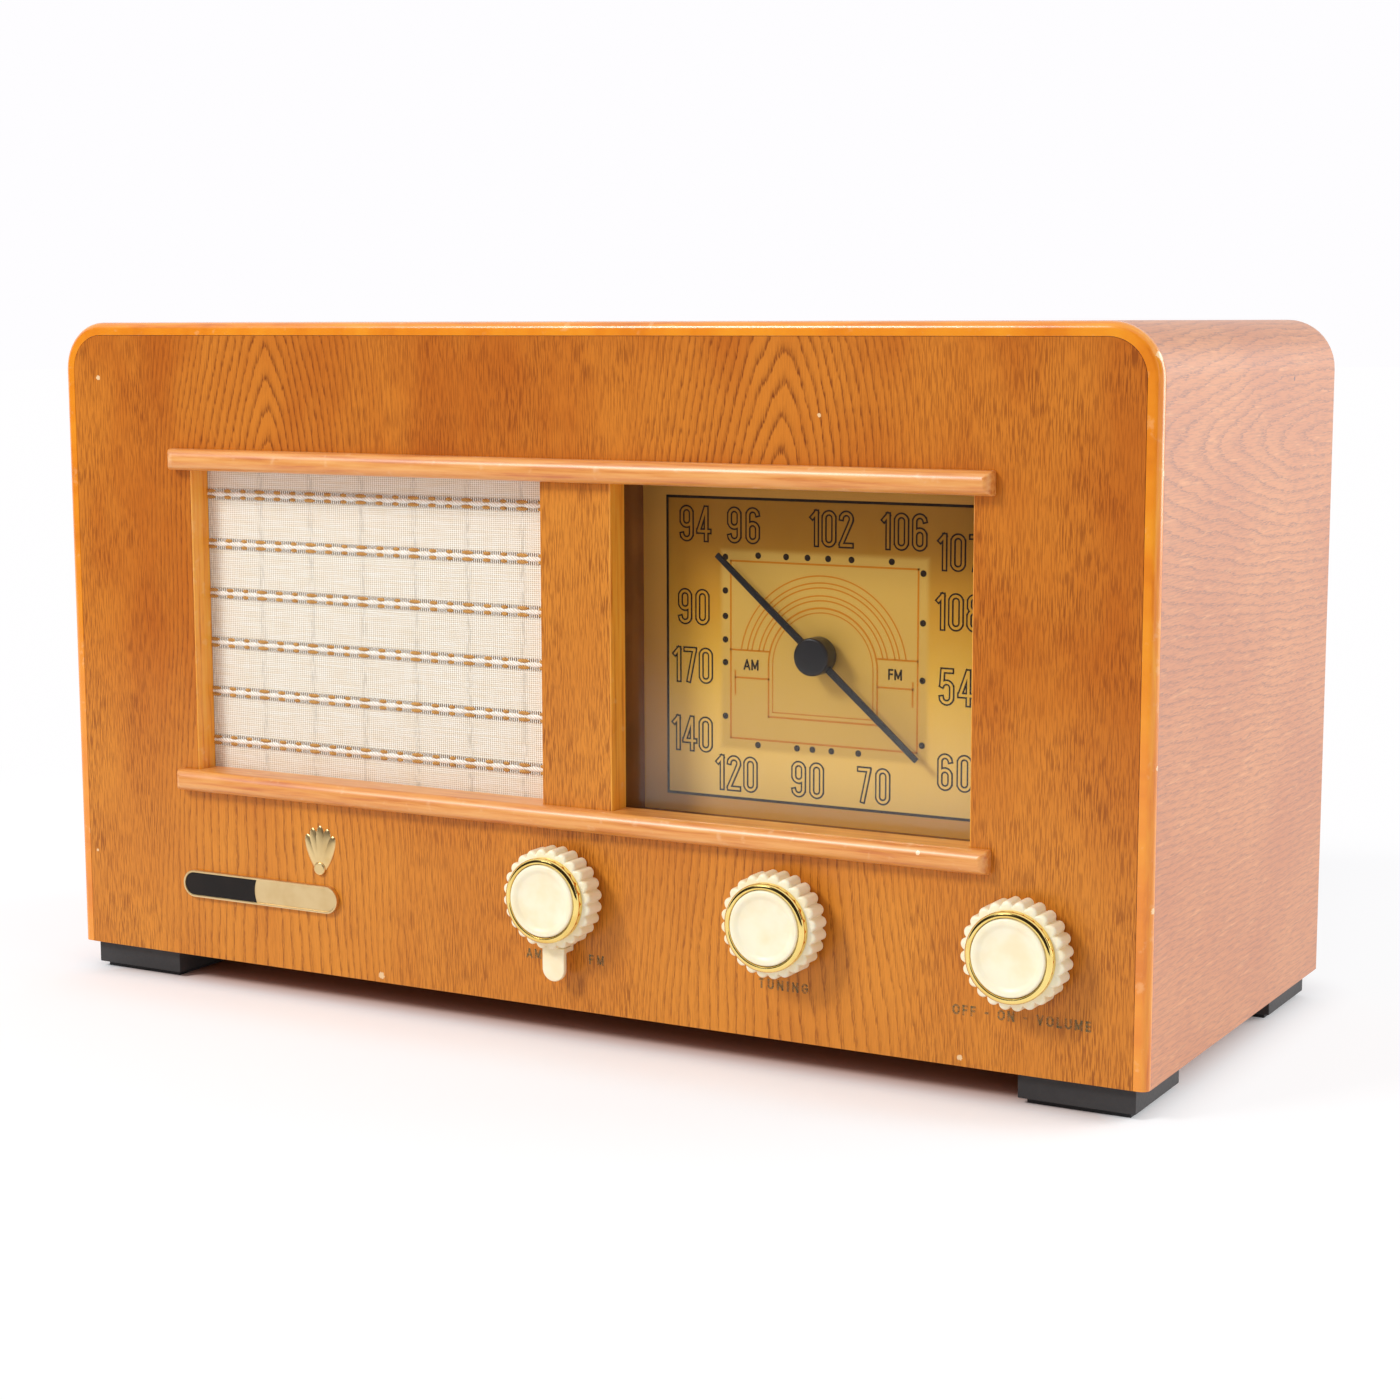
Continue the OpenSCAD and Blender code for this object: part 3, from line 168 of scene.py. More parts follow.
def dress(piece, material, slot, *nodes, body="cabinet"):
    piece.data.materials.clear()
    piece.data.materials.append(material)
    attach(piece, body)
    if nodes:
        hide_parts(*nodes)


def softCopy(node, pieceName, material, slot, width, segments=2, angle=35, body="cabinet"):
    # A copy with its edges softened, dressed in its node's place
    piece = copyOf(node, pieceName)
    softenEdges(piece, width * mm, segments, angle)
    dress(piece, material, slot, node, body=body)
    return piece


def tint(red, green, blue):
    # A colour as the eye names it, 0 to 255, in the renderer's linear values
    def linear(level):
        level /= 255
        return level / 12.92 if level <= 0.04045 else ((level + 0.055) / 1.055) ** 2.4
    return (linear(red), linear(green), linear(blue), 1)


class Signal:
    # A number or colour in a material's nodes: arithmetic on it adds Math nodes
    def __init__(self, finish, socket):
        self.finish = finish
        self.socket = socket

    def __add__(self, other):
        return self.finish.sum("ADD", self, other)

    def __sub__(self, other):
        return self.finish.sum("SUBTRACT", self, other)

    def __rsub__(self, other):
        return self.finish.sum("SUBTRACT", other, self)

    def __mul__(self, other):
        return self.finish.sum("MULTIPLY", self, other)

    def __truediv__(self, other):
        return self.finish.sum("DIVIDE", self, other)

    def __mod__(self, other):
        return self.finish.sum("FLOORED_MODULO", self, other)

    def __pow__(self, other):
        return self.finish.sum("POWER", self, other)

    def __abs__(self):
        return self.finish.sum("ABSOLUTE", self)


class Finish:
    # A material or a world, with short ways to wire its nodes
    def __init__(self, name, shader="Principled BSDF", kind="materials", **settings):
        self.material = getattr(bpy.data, kind).new(name)
        self.material.use_nodes = True
        self.nodes = self.material.node_tree.nodes
        self.links = self.material.node_tree.links
        self.shader = self.nodes[shader]
        for key, value in settings.items():
            self.shader.inputs[key.replace("_", " ")].default_value = value
        self.place = self.nodes.new("ShaderNodeTexCoord").outputs["Object"]

    def wire(self, value, socket):
        # Three numbers are a colour from 0 to 255
        if isinstance(value, tuple) and len(value) == 3:
            value = tint(*value)
        value = getattr(value, "socket", value)
        if isinstance(value, bpy.types.NodeSocket):
            self.links.new(value, socket)
        else:
            socket.default_value = value

    def add(self, kind, *values, **settings):
        node = self.nodes.new("ShaderNode" + kind)
        for key, value in settings.items():
            setattr(node, key, value)
        for value, socket in zip(values, node.inputs):
            self.wire(value, socket)
        return node

    def sum(self, operation, *values, clamp=False):
        node = self.add("Math", *values, operation=operation, use_clamp=clamp)
        return Signal(self, node.outputs[0])

    def seen(self):
        # 1 for a ray of the camera, a mirror or a glass, and 0 for the light on a matt surface
        rays = self.add("LightPath").outputs
        mirrored = self.sum("ADD", rays["Is Camera Ray"], rays["Is Glossy Ray"], clamp=True)
        return self.sum("ADD", mirrored, rays["Is Transmission Ray"], clamp=True)

    def inMillimetres(self, vector=None):
        axes = self.add("SeparateXYZ", vector or self.place).outputs
        return [Signal(self, axis) * 1000.0 for axis in axes]

    def alongRun(self):
        # The piece's own map: along its run, and back from the front
        return self.inMillimetres(self.add("UVMap", uv_map="run").outputs[0])[:2]

    def noise(self, x, y, z, scale=1.0, detail=2.0, roughness=0.5):
        node = self.add("TexNoise", self.add("CombineXYZ", x, y, z).outputs[0])
        for key, value in (("Scale", scale), ("Detail", detail), ("Roughness", roughness)):
            node.inputs[key].default_value = value
        return Signal(self, node.outputs["Fac"])

    def spread(self, value, low, high, toLow=0.0, toHigh=1.0):
        node = self.add("MapRange", value, low, high, toLow, toHigh, interpolation_type="SMOOTHSTEP")
        return Signal(self, node.outputs[0])

    def ramp(self, value, *stops):
        # Stops of a position and a grey from 0 to 1, or a colour from 0 to 255
        node = self.add("ValToRGB", value)
        marks = node.color_ramp.elements
        while len(marks) < len(stops):
            marks.new(0.5)
        for mark, (position, colour) in zip(marks, stops):
            mark.position = position
            mark.color = tint(*colour) if isinstance(colour, tuple) else (colour, colour, colour, 1)
        return Signal(self, node.outputs[0])

    def blend(self, factor, first, second, kind="MIX"):
        node = self.add("Mix", factor, data_type="RGBA", blend_type=kind, clamp_factor=True)
        self.wire(first, node.inputs[6])
        self.wire(second, node.inputs[7])
        return Signal(self, node.outputs[2])

    def cover(self, factor, under, over):
        # The surface is a mix of two shaders
        both = self.add("MixShader", factor, under, over)
        self.wire(both.outputs[0], self.nodes["Material Output"].inputs[0])

    def relief(self, height, strength=0.3, depth=0.1):
        node = self.add("Bump")
        self.wire(height, node.inputs["Height"])
        node.inputs["Strength"].default_value = strength
        node.inputs["Distance"].default_value = depth * mm
        self.wire(node.outputs[0], self.shader.inputs["Normal"])

    def colour(self, value):
        self.wire(value, self.shader.inputs["Base Color"])

    def roughness(self, value):
        self.wire(value, self.shader.inputs["Roughness"])

    def worn(self, base, across, up, chips, bare):
        # Small chips through the finish: place across, place up and size of each, in millimetres
        raggedness = 1.7
        ragged = self.noise(across * raggedness, 5.0, up * raggedness, detail=3)
        for atAcross, atUp, size in chips:
            aside, above = across - atAcross, up - atUp
            reach = self.sum("SQRT", aside * aside + above * above) + ragged * size
            base = self.blend(self.spread(reach, size * 1.3, size * 1.05), base, bare)
        return base


# Camera, floor and light
camera = {"place": (0.415063, -0.725495, 0.212358), "turn": 29.20773, "down": 8.13682, "roll": -0.1345,
          "lens": 68.344}
studio = {"skyLevel": 0.64, "skyTint": (254, 253, 255), "floorTint": (240, 238, 241), "floorSeen": 1.1,
          "paintedLightReach": 32, "paintedLightGap": 18, "paintedLightShare": (60, 190, 0.5, 0.85), "farFloor": 330,
          "underPaintedShade": (206, 140, 104), "underPaintedShadeEdge": (4.0, 36.0), "roomTint": (40, 30, 24),
          "lamps": {"key_softbox": ((-1.0, -1.6, 1.5), (0, 0, 0.1), 0.55, 28),
                    "side_softbox": ((1.5, 1.1, 0.5), (0.18, 0.02, 0.1), 1.2, 19)},
          "cards": {"dark_room_front": ((-0.9, -0.74, 0.5), (3.4, 1.0), 0),
                    "dark_room_right": ((1.7, -0.55, 0.75), (0.9, 0.7), math.pi / 2)}}


def makeCamera():
    data = bpy.data.cameras.new("camera")
    data.lens = camera["lens"]
    data.clip_start = 0.01
    eye = bpy.data.objects.new("camera", data)
    eye.location = camera["place"]
    turn, tilt, roll = (math.radians(camera[key]) for key in ("turn", "down", "roll"))
    facing = Matrix.Rotation(turn, 3, "Z") @ Matrix.Rotation(math.pi / 2 - tilt, 3, "X")
    facing = facing @ Matrix.Rotation(roll, 3, "Z")
    eye.rotation_euler = facing.to_euler()
    scene.collection.objects.link(eye)
    scene.camera = eye


def softbox(name, place, aim, size, watts):
    data = bpy.data.lights.new(name, "AREA")
    data.shape = "RECTANGLE"
    data.size = data.size_y = size
    data.energy = watts
    lamp = bpy.data.objects.new(name, data)
    lamp.location = place
    lamp.rotation_euler = (Vector(aim) - Vector(place)).to_track_quat("-Z", "Y").to_euler()
    scene.collection.objects.link(lamp)


def makeFloor():
    # The floor takes the shadow near the radio and turns plain white farther off; close beside the radio its
    # glow is painted light over that shadow, most on the right, and under the radio it carries a painted
    # brown shade
    bpy.ops.mesh.primitive_plane_add(size=16, location=(0, 3, 0))
    floor = named("floor")
    f = Finish("studio_floor", Roughness=0.95, Specular_IOR_Level=0.1)
    seen = f.seen()
    level = studio["floorSeen"]
    floorTint = f.blend(seen, studio["floorTint"], (level * 0.985, level, level * 1.015, 1))
    x, y, z = f.inMillimetres()
    highX, highY = shellHigh.x / mm, shellHigh.y / mm
    beside = f.sum("MAXIMUM", x - (highX - studio["paintedLightGap"]), shellLow.x / mm - x)
    aside = f.sum("MAXIMUM", beside, 0.0)
    ahead = f.sum("MAXIMUM", abs(y) - highY, 0.0)
    away = f.sum("SQRT", aside * aside + ahead * ahead)
    # painted light: close beside the radio, most of all on its right, the floor glows to the camera over its
    # shadow
    near = f.spread(away, 0.0, studio["paintedLightReach"]) * f.spread(x, *studio["paintedLightShare"])
    # painted shade: the floor turns brown under the radio's footprint
    under = f.spread(f.sum("MINIMUM", highX - abs(x), highY - abs(y)), *studio["underPaintedShadeEdge"])
    f.colour(f.blend(under, floorTint, f.blend(1.0, floorTint, studio["underPaintedShade"], "MULTIPLY")))
    far = f.sum("MAXIMUM", near, f.spread(away, 0.0, studio["farFloor"]))
    glow = f.add("Emission", (1, 0.995, 1, 1))
    f.cover(far * seen, f.shader.outputs[0], glow.outputs[0])
    floor.data.materials.append(f.material)


def makeWorld():
    f = Finish("studio_world", "Background", "worlds", Color=tint(*studio["skyTint"]))
    scene.world = f.material
    level = f.add("MapRange", f.seen(), 0.0, 1.0, studio["skyLevel"])
    f.wire(level.outputs[0], f.shader.inputs["Strength"])


def darkCard(name, place, size, turn):
    # A piece of the dark room behind the camera, seen in reflections alone
    bpy.ops.mesh.primitive_plane_add(size=1, location=place, rotation=(math.pi / 2, 0, turn))
    card = named(name, (*size, 1))
    dark = Finish(name, Roughness=1.0)
    dark.colour(studio["roomTint"])
    card.data.materials.append(dark.material)
    for ray in ("camera", "diffuse", "transmission", "shadow"):
        setattr(card, "visible_" + ray, False)


makeCamera()
makeFloor()
makeWorld()
for name, values in studio["lamps"].items():
    softbox(name, *values)
for name, values in studio["cards"].items():
    darkCard(name, *values)
print("camera, floor and light stand")


# Wood finishes: lengths in millimetres, and steps of a noise to the millimetre
oak = {"light": (210, 125, 34), "deep": (189, 100, 18), "line": (116, 50, 8), "pore": (116, 48, 4),
       "pale": (236, 160, 62), "bare": (236, 200, 150), "roughness": 0.38,
       "leaf": 178, "leafStart": -152, "figure": 47, "archFoot": 160, "slope": 0.3, "spreadTop": 110,
       "widen": 0.003, "gap": 0.33, "tighten": 0.0022, "shift": 0.35,
       "footTop": 120, "footLow": 44, "stileMiddle": 3.0, "stileHalf": (30, 20), "stileTop": (172, 160),
       "pores": (2.6, 0.28, 0.4, 0.6), "fine": (2.6, 0.15, 0.45, 0.6, 3.0),
       "chips": ((87, 186.5, 0.8), (-171, 194.5, 1.1), (-64, 11.2, 1.5), (131, 11.4, 1.1), (-178, 40, 0.7))}
sideOak = {"light": (212, 132, 68), "deep": (200, 116, 54), "line": (146, 76, 38), "fleck": (236, 164, 96),
           "ding": (96, 52, 40), "roughness": 0.46, "figureZ": 178, "figureY": 74, "topFigure": 12.0,
           "slope": 0.16, "gap": 0.3, "tighten": 0.0006, "shift": 0.1, "pores": (3.4, 0.34, 0.4, 0.6),
           "fine": (2.0, 0.14, 0.46, 0.62, 5.0), "flecks": (0.7, 0.05, 0.56, 0.72, 9.0),
           "dings": ((43, -2.0, 1.0), (99, -48.5, 1.0))}
wrapRadius = 15 * mm
wrapLength = 2 * (wrapRadius * math.pi / 2 + shellHigh.x - wrapRadius) / mm


def oakLines(f, side, above, jag, look):
    # Pointed arches round a figure that run out into straight lines, 0 to 1 across each line
    point = 1.6
    reach = (abs(side) ** point + abs(above) ** point) ** (1 / point) + jag
    line = f.sum("FRACT", reach * look["gap"] + reach * reach * look["tighten"] + look["shift"])
    return f.ramp(line, (0.0, 1), (0.1, 0.8), (0.26, 0.28), (0.5, 0), (0.92, 0), (1.0, 0.9)), reach


def streaks(f, across, along, fine, length, low, high, offset=0.0):
    # Short dark pores drawn out along the grain
    return f.spread(f.noise(across * fine, offset, along * length, roughness=0.6), low, high)


def middled(f, across, along, fine, length, size, detail=1, offset=0.0):
    # A wander of so many millimetres to either side
    return (f.noise(across * fine, offset, along * length, detail=detail) - 0.5) * size


def makeFrontOak():
    f = Finish("front_oak_veneer", Roughness=oak["roughness"], Coat_Weight=0.16, Coat_Roughness=0.14,
               Specular_IOR_Level=0.2)
    x, y, z = f.inMillimetres()
    across = (x - oak["leafStart"]) % oak["leaf"]
    widen = f.sum("MAXIMUM", oak["spreadTop"] - z, 0.0) * oak["widen"] + 1.0
    side = (across - oak["figure"]) / widen + middled(f, x, z, 0.02, 0.008, 14.0)
    above = f.sum("MAXIMUM", z - oak["archFoot"], 0.0) * oak["slope"]
    jag = middled(f, x, z, 0.16, 0.03, 2.2, 2) + middled(f, x, z, 1.7, 0.1, 1.3, 2, 4.0)
    dark, reach = oakLines(f, side, above, jag, oak)
    pores = streaks(f, x, z, *oak["pores"])
    fine = streaks(f, x, z, *oak["fine"])
    patch = f.spread(f.noise(x * 0.07, 0.0, z * 0.04, detail=3), 0.3, 0.7)
    # Lines are strong at a figure and below fade a little, where specks and pores take over
    lines = dark * f.spread(reach, 14, 74, 0.95, 0.14) * (pores * 0.7 + 0.3)
    lines = lines * f.spread(z, oak["footTop"], oak["footLow"], 1.0, 0.72)
    specks = fine * (f.spread(reach, 12, 70, 0.25, 1.0) * (patch * 0.4 + 0.26))
    cloud = f.noise(x * 0.03, 0.0, z * 0.014, detail=3)
    base = f.blend(f.spread(cloud, 0.32, 0.68), oak["deep"], oak["light"])
    foot = f.spread(z, oak["footTop"], oak["footLow"])
    stile = f.spread(abs(x - oak["stileMiddle"]), *oak["stileHalf"]) * f.spread(z, *oak["stileTop"])
    base = f.blend(f.sum("MAXIMUM", foot, stile), base, f.blend(0.4, base, oak["pale"]))
    base = f.blend(specks, base, oak["pore"])
    base = f.blend(lines, base, oak["line"])
    f.colour(f.worn(base, x, z, oak["chips"], oak["bare"]))
    f.relief(1.0 - f.sum("MAXIMUM", lines, specks), strength=0.25, depth=0.05)
    return f.material


def makeSideOak():
    # Same veneer, wrapped over the top: its lines run front to back
    f = Finish("side_oak_veneer", Roughness=sideOak["roughness"], Coat_Weight=0.5, Coat_Roughness=0.38,
               Specular_IOR_Level=0.8)
    run, back = f.alongRun()
    # One figure high on each wall and one in the middle of the top
    toMiddle = wrapLength / 2
    fromTop = abs(run - toMiddle)
    onWall = fromTop - (toMiddle + (shellHigh.z - wrapRadius) / mm - sideOak["figureZ"])
    side = f.sum("MINIMUM", abs(onWall), abs(fromTop + sideOak["topFigure"]))
    side = side + middled(f, run, back, 0.015, 0.008, 9.0)
    ahead = f.sum("MAXIMUM", sideOak["figureY"] - back, 0.0) * sideOak["slope"]
    jag = middled(f, run, back, 0.1, 0.04, 4.5, 3) + middled(f, run, back, 1.6, 0.12, 2.2, 2, 4.0)
    dark, reach = oakLines(f, side, ahead, jag, sideOak)
    pores, fine, fleck = (streaks(f, run, back, *sideOak[key]) for key in ("pores", "fine", "flecks"))
    lines = dark * f.spread(reach, 20, 170, 0.95, 0.5) * (pores * 0.85 + 0.15)
    cloud = f.noise(run * 0.02, back * 0.015, 0.0)
    base = f.blend(f.spread(cloud, 0.3, 0.7), sideOak["deep"], sideOak["light"])
    base = f.blend(fleck * 0.45, base, sideOak["fleck"])
    base = f.blend(fine * 0.34, base, sideOak["line"])
    base = f.blend(lines, base, sideOak["line"])
    f.colour(f.worn(base, back, run, sideOak["dings"], sideOak["ding"]))
    f.relief(1.0 - lines, strength=0.2, depth=0.05)
    return f.material


amber = {"light": (247, 162, 34), "deep": (236, 138, 18), "line": (208, 108, 12), "bare": (255, 216, 160),
         "gloss": (0.24, 0.6, 0.12),
         "chips": ((0, 173, 1.5), (-1, 203, 1.7), (-5, 8, 3.0), (-0.5, 96, 0.9), (-1, 58, 1.2))}
# jamb wood: the jambs' own amber, made paler than the edge wood as painted light inside the openings
jambPaintedLightLook = {"light": (255, 190, 72), "deep": (252, 168, 52), "line": (216, 122, 26), "bare": (255, 214, 150),
            "gloss": (0.3, 0.4, 0.2), "chips": ()}
railLook = {"light": (241, 173, 94), "deep": (228, 148, 66), "line": (206, 116, 46), "bare": (255, 222, 180),
            "gloss": (0.4, 0.7, 0.3), "chips": ((-92, 165.2, 1.4), (-87, 165.0, 0.8), (120, 68.6, 0.9))}


def makeAmberWood(name, way, look):
    # Solid strips under a clear gloss; streaks follow the strip
    rough, coat, coatRough = look["gloss"]
    f = Finish(name, Roughness=rough, Coat_Weight=coat, Coat_Roughness=coatRough)
    x, y, z = f.inMillimetres()
    along, aside = 0.035, 0.7
    across = x
    if way == "run":
        run, back = f.alongRun()
        streak = f.noise(run * along, back * 0.6, 0.0, detail=4, roughness=0.6)
        across = y - bandBack
    elif way == "x":
        streak = f.noise(x * along, y * aside, z * aside, detail=4, roughness=0.6)
    else:
        streak = f.noise(x * aside, y * aside, z * along, detail=4, roughness=0.6)
    base = f.ramp(streak, (0.3, look["line"]), (0.46, look["deep"]), (0.68, look["light"]))
    rubbed = f.noise(x, y, z, scale=0.25, detail=4)
    base = f.blend(f.spread(rubbed, 0.6, 0.74) * 0.25, base, look["bare"])
    f.colour(f.worn(base, across, z, look["chips"], look["bare"]))
    f.relief(streak, strength=0.08, depth=0.05)
    return f.material


def mapRun(piece):
    # Writes the run map: along the wrapped outline from the right side over the top, and depth
    sideX, topZ = shellHigh.x - wrapRadius, shellHigh.z - wrapRadius
    quarter = wrapRadius * math.pi / 2
    layer = piece.data.uv_layers.new(name="run")
    for loop in piece.data.loops:
        place = piece.data.vertices[loop.vertex_index].co
        if place.z < topZ:
            run = place.z - topZ
        elif abs(place.x) > sideX:
            run = wrapRadius * math.atan2(place.z - topZ, abs(place.x) - sideX)
        else:
            run = quarter + sideX - abs(place.x)
        if place.x < 0:
            run = 2 * (quarter + sideX) - run
        layer.data[loop.index].uv = (run, place.y)


cabinetLook = {"shellEdge": 0.25, "panelEdge": 0.6, "panelRim": 0.08, "bandEdge": 0.12, "railEdge": 0.5,
               "jambReach": 4}


def makePanel():
    piece = copyOf("front_panel", "veneered_panel")
    openings = ((clothLow.x, clothHigh.x), (plateLow.x, plateHigh.x))

    def inOpening(point, slack=0.0):
        reach = cabinetLook["jambReach"] * mm + slack
        level = sillZ - reach < point.z < headZ + reach
        return level and any(low < point.x < high for low, high in openings)

    def onFront(edge):
        return all(abs(vertex.co.y - frontY) < 0.01 * mm and inOpening(vertex.co, 2 * mm)
                   for vertex in edge.verts)

    openEdit(piece, "EDGE", onFront)
    bpy.ops.mesh.bevel(offset=cabinetLook["panelEdge"] * mm, segments=4, affect="EDGES")
    closeEdit()
    softenEdges(piece, cabinetLook["panelRim"] * mm, 1, angle=60)
    dress(piece, makeFrontOak(), "front_veneer", "front_panel")
    piece.data.materials.append(makeAmberWood("amber_jamb_wood", "z", jambPaintedLightLook))
    for face in piece.data.polygons:
        if inOpening(face.center) and abs(face.normal.x) > 0.3:
            face.material_index = 1


mapRun(softCopy("cabinet_shell", "shell", makeSideOak(), "side_veneer", cabinetLook["shellEdge"]))
makePanel()
edgeWood = makeAmberWood("amber_edge_wood", "run", amber)
mapRun(softCopy("front_edge_band", "edge_strip", edgeWood, "edge_wood", cabinetLook["bandEdge"], angle=50))
railWood = makeAmberWood("amber_rail_wood", "x", railLook)
for node in ("upper_rail", "lower_rail"):
    softCopy(node, node + "_strip", railWood, "edge_wood", cabinetLook["railEdge"], 3)
print("cabinet front and shell made")


# Grille cloth with its six corded stripes
weave = {"warp": 0.75, "weft": 0.6, "ground": (255, 253, 242), "slub": (247, 237, 214),
         # gap and slot are painted shade: between the threads, and in the open slot at each stripe
         "gap": (174, 150, 116), "slot": (118, 90, 56), "dull": (168, 158, 140), "dullStart": -133.0,
         "columns": 120, "rows": 90, "thick": 0.35, "back": 0.1}
stripe = {"first": 158.1, "pitch": 15.8, "rows": 6, "period": 19.6, "start": -134.0, "periods": 7,
          "end": -4.2, "white": (255, 253, 246), "shade": (226, 216, 196), "gold": (218, 166, 84),
          "deepGold": (166, 110, 42), "dashRise": 1.02,
          "dashes": ((1.0, 3.9, 0.6), (8.0, 2.8, 0.5), (14.1, 2.1, 0.4)),
          "threads": 174, "threadGap": 0.755, "thread": 0.2, "ladder": 3.8, "cord": 0.8, "flat": 0.55,
          "slot": 1.75}


def fromStep(f, value, first, pitch):
    # Distance from the nearest of a row of lines, as a share of their pitch
    return abs(f.sum("FRACT", (value - first) / pitch + 0.5) - 0.5)


def makeWeaveFinish():
    f = Finish("grille_weave", Roughness=0.85, Sheen_Weight=0.15)
    x, y, z = f.inMillimetres()
    warpAt, weftAt = x / weave["warp"], z / weave["weft"]
    ridgeUp, ridgeAcross = (f.sum("SINE", f.sum("FRACT", at) * math.pi) for at in (warpAt, weftAt))
    check = (f.sum("FLOOR", warpAt) + f.sum("FLOOR", weftAt)) % 2.0
    over = check * ridgeUp + (1.0 - check) * ridgeAcross
    height = over * 0.5 + ridgeUp ** 0.5 * ridgeAcross ** 0.5 * 0.5
    broken = f.noise(x * 1.4, 2.0, z * 0.25, detail=3)
    dull = f.spread(fromStep(f, x, weave["dullStart"], stripe["period"]), 0.1, 0.0)
    grey = dull * f.spread(broken, 0.42, 0.6)
    row = fromStep(f, z, stripe["first"], stripe["pitch"]) * stripe["pitch"]
    slot = f.spread(row, stripe["slot"] + 0.2, stripe["slot"] - 0.1)
    yarn = f.noise(x * 1.3, 0.0, z * 0.08) * 0.3 + f.noise(x * 0.08, 7.0, z * 1.6) * 0.7
    thread = f.blend(f.spread(yarn, 0.3, 0.7), weave["slub"], weave["ground"])
    # painted shade: the low places between the threads take the gap colour
    cloth = f.blend(f.spread(height, 0.15, 0.62), weave["gap"], thread)
    cloth = f.blend(grey * 0.36, cloth, weave["dull"])
    # painted shade: each stripe's open slot is coloured dark
    f.colour(f.blend(slot, cloth, weave["slot"]))
    f.relief(height, strength=0.7, depth=0.18)
    return f.material


def makeYarnFinish(name, light, dark, twists):
    f = Finish(name, Roughness=0.75, Sheen_Weight=0.2)
    x, y, z = f.inMillimetres()
    shade = f.sum("SINE", (x + z * 1.4) * twists) * 0.25 + f.noise(x, y, z, scale=1.2, detail=3)
    f.colour(f.blend(f.spread(shade, 0.25, 0.8), dark, light))
    f.relief(shade, strength=0.5, depth=0.1)
    return f.material


def makeCloth():
    width, height = clothHigh.x - clothLow.x, clothHigh.z - clothLow.z
    middleX, unused, middleZ = middleOf("grille_cloth")
    bpy.ops.mesh.primitive_grid_add(
        x_subdivisions=weave["columns"], y_subdivisions=weave["rows"], size=1,
        location=(middleX, clothLow.y + weave["back"] * mm, middleZ), rotation=facingFront)
    cloth = named("grille_weave_cloth", (width, height, 1))
    modify(cloth, "SOLIDIFY", thickness=weave["thick"] * mm, offset=-1)
    smoothShade(cloth)
    dress(cloth, makeWeaveFinish(), "grille_cloth", "grille_cloth")
    return cloth, width, height


def makeCord(ridgeY):
    # One period of the white cord, thin where the long dash pinches it
    period, startX, firstZ = (stripe[key] * mm for key in ("period", "start", "first"))
    rings, radius = 28, 0.62
    bpy.ops.mesh.primitive_cylinder_add(
        vertices=10, radius=radius * mm, depth=period, end_fill_type="NOTHING",
        rotation=(0, math.pi / 2, 0), location=(startX + period / 2, ridgeY, firstZ))
    cord = named("white_cord")
    openEdit(cord, "EDGE", lambda edge: abs(edge.verts[0].co.x - edge.verts[1].co.x) > period / 2)
    bpy.ops.mesh.subdivide(number_cuts=rings - 1)
    for ring in range(rings + 1):
        at = stripe["period"] * ring / rings
        pinch = max(deep * math.exp(-((at - place - shift) / (length * 0.5)) ** 2)
                    for place, length, deep in stripe["dashes"]
                    for shift in (0, stripe["period"], -stripe["period"]))
        size = stripe["cord"] / radius * (1 - pinch)
        pickParts(cord, "VERT", lambda vertex: round((vertex.co.x - startX) / period * rings) == ring)
        bpy.ops.transform.resize(value=(1, stripe["flat"] * size, size), center_override=(0, ridgeY, firstZ))
    closeEdit()
    return cord


def makeDashes(ridgeY):
    dashes = []
    for middle, length, unused in stripe["dashes"]:
        for side in (-1, 1):
            place = ((stripe["start"] + middle) * mm, ridgeY + 0.02 * mm,
                     (stripe["first"] + side * stripe["dashRise"]) * mm)
            bpy.ops.mesh.primitive_uv_sphere_add(segments=12, ring_count=8, radius=0.5 * mm, location=place)
            dashes.append(named("dash", (length * 1.12, 1.0, 1.2)))
    return joined("gold_dashes", *dashes)


def makeStripes(cloth, width, height):
    ridgeY = clothLow.y - 0.1 * mm
    cord = makeCord(ridgeY)
    repeat(cord, stripe["periods"], x=stripe["period"] * mm)
    modify(cord, "WELD", merge_threshold=0.05 * mm)
    gold = makeDashes(ridgeY)
    repeat(gold, stripe["periods"], x=stripe["period"] * mm)
    place = ((stripe["start"] + 0.3) * mm, ridgeY + 0.05 * mm, stripe["first"] * mm)
    bpy.ops.mesh.primitive_cylinder_add(
        vertices=6, radius=stripe["thread"] * mm, depth=stripe["ladder"] * mm, location=place)
    ladder = named("ladder_threads")
    repeat(ladder, stripe["threads"], x=stripe["threadGap"] * mm)
    for piece in (cord, gold, ladder):
        repeat(piece, stripe["rows"], z=-stripe["pitch"] * mm)
        cutOff(piece, (stripe["end"] * mm, 0, 0), (1, 0, 0))
        closeEdit()
        smoothShade(piece, 60)
    white = makeYarnFinish("white_yarn", stripe["white"], stripe["shade"], 5.0)
    dress(cord, white, "grille_cloth")
    dress(ladder, white, "grille_cloth")
    yellow = makeYarnFinish("gold_yarn", stripe["gold"], stripe["deepGold"], 7.0)
    dress(gold, yellow, "grille_cloth")


makeStripes(*makeCloth())
print("grille cloth and stripes made")


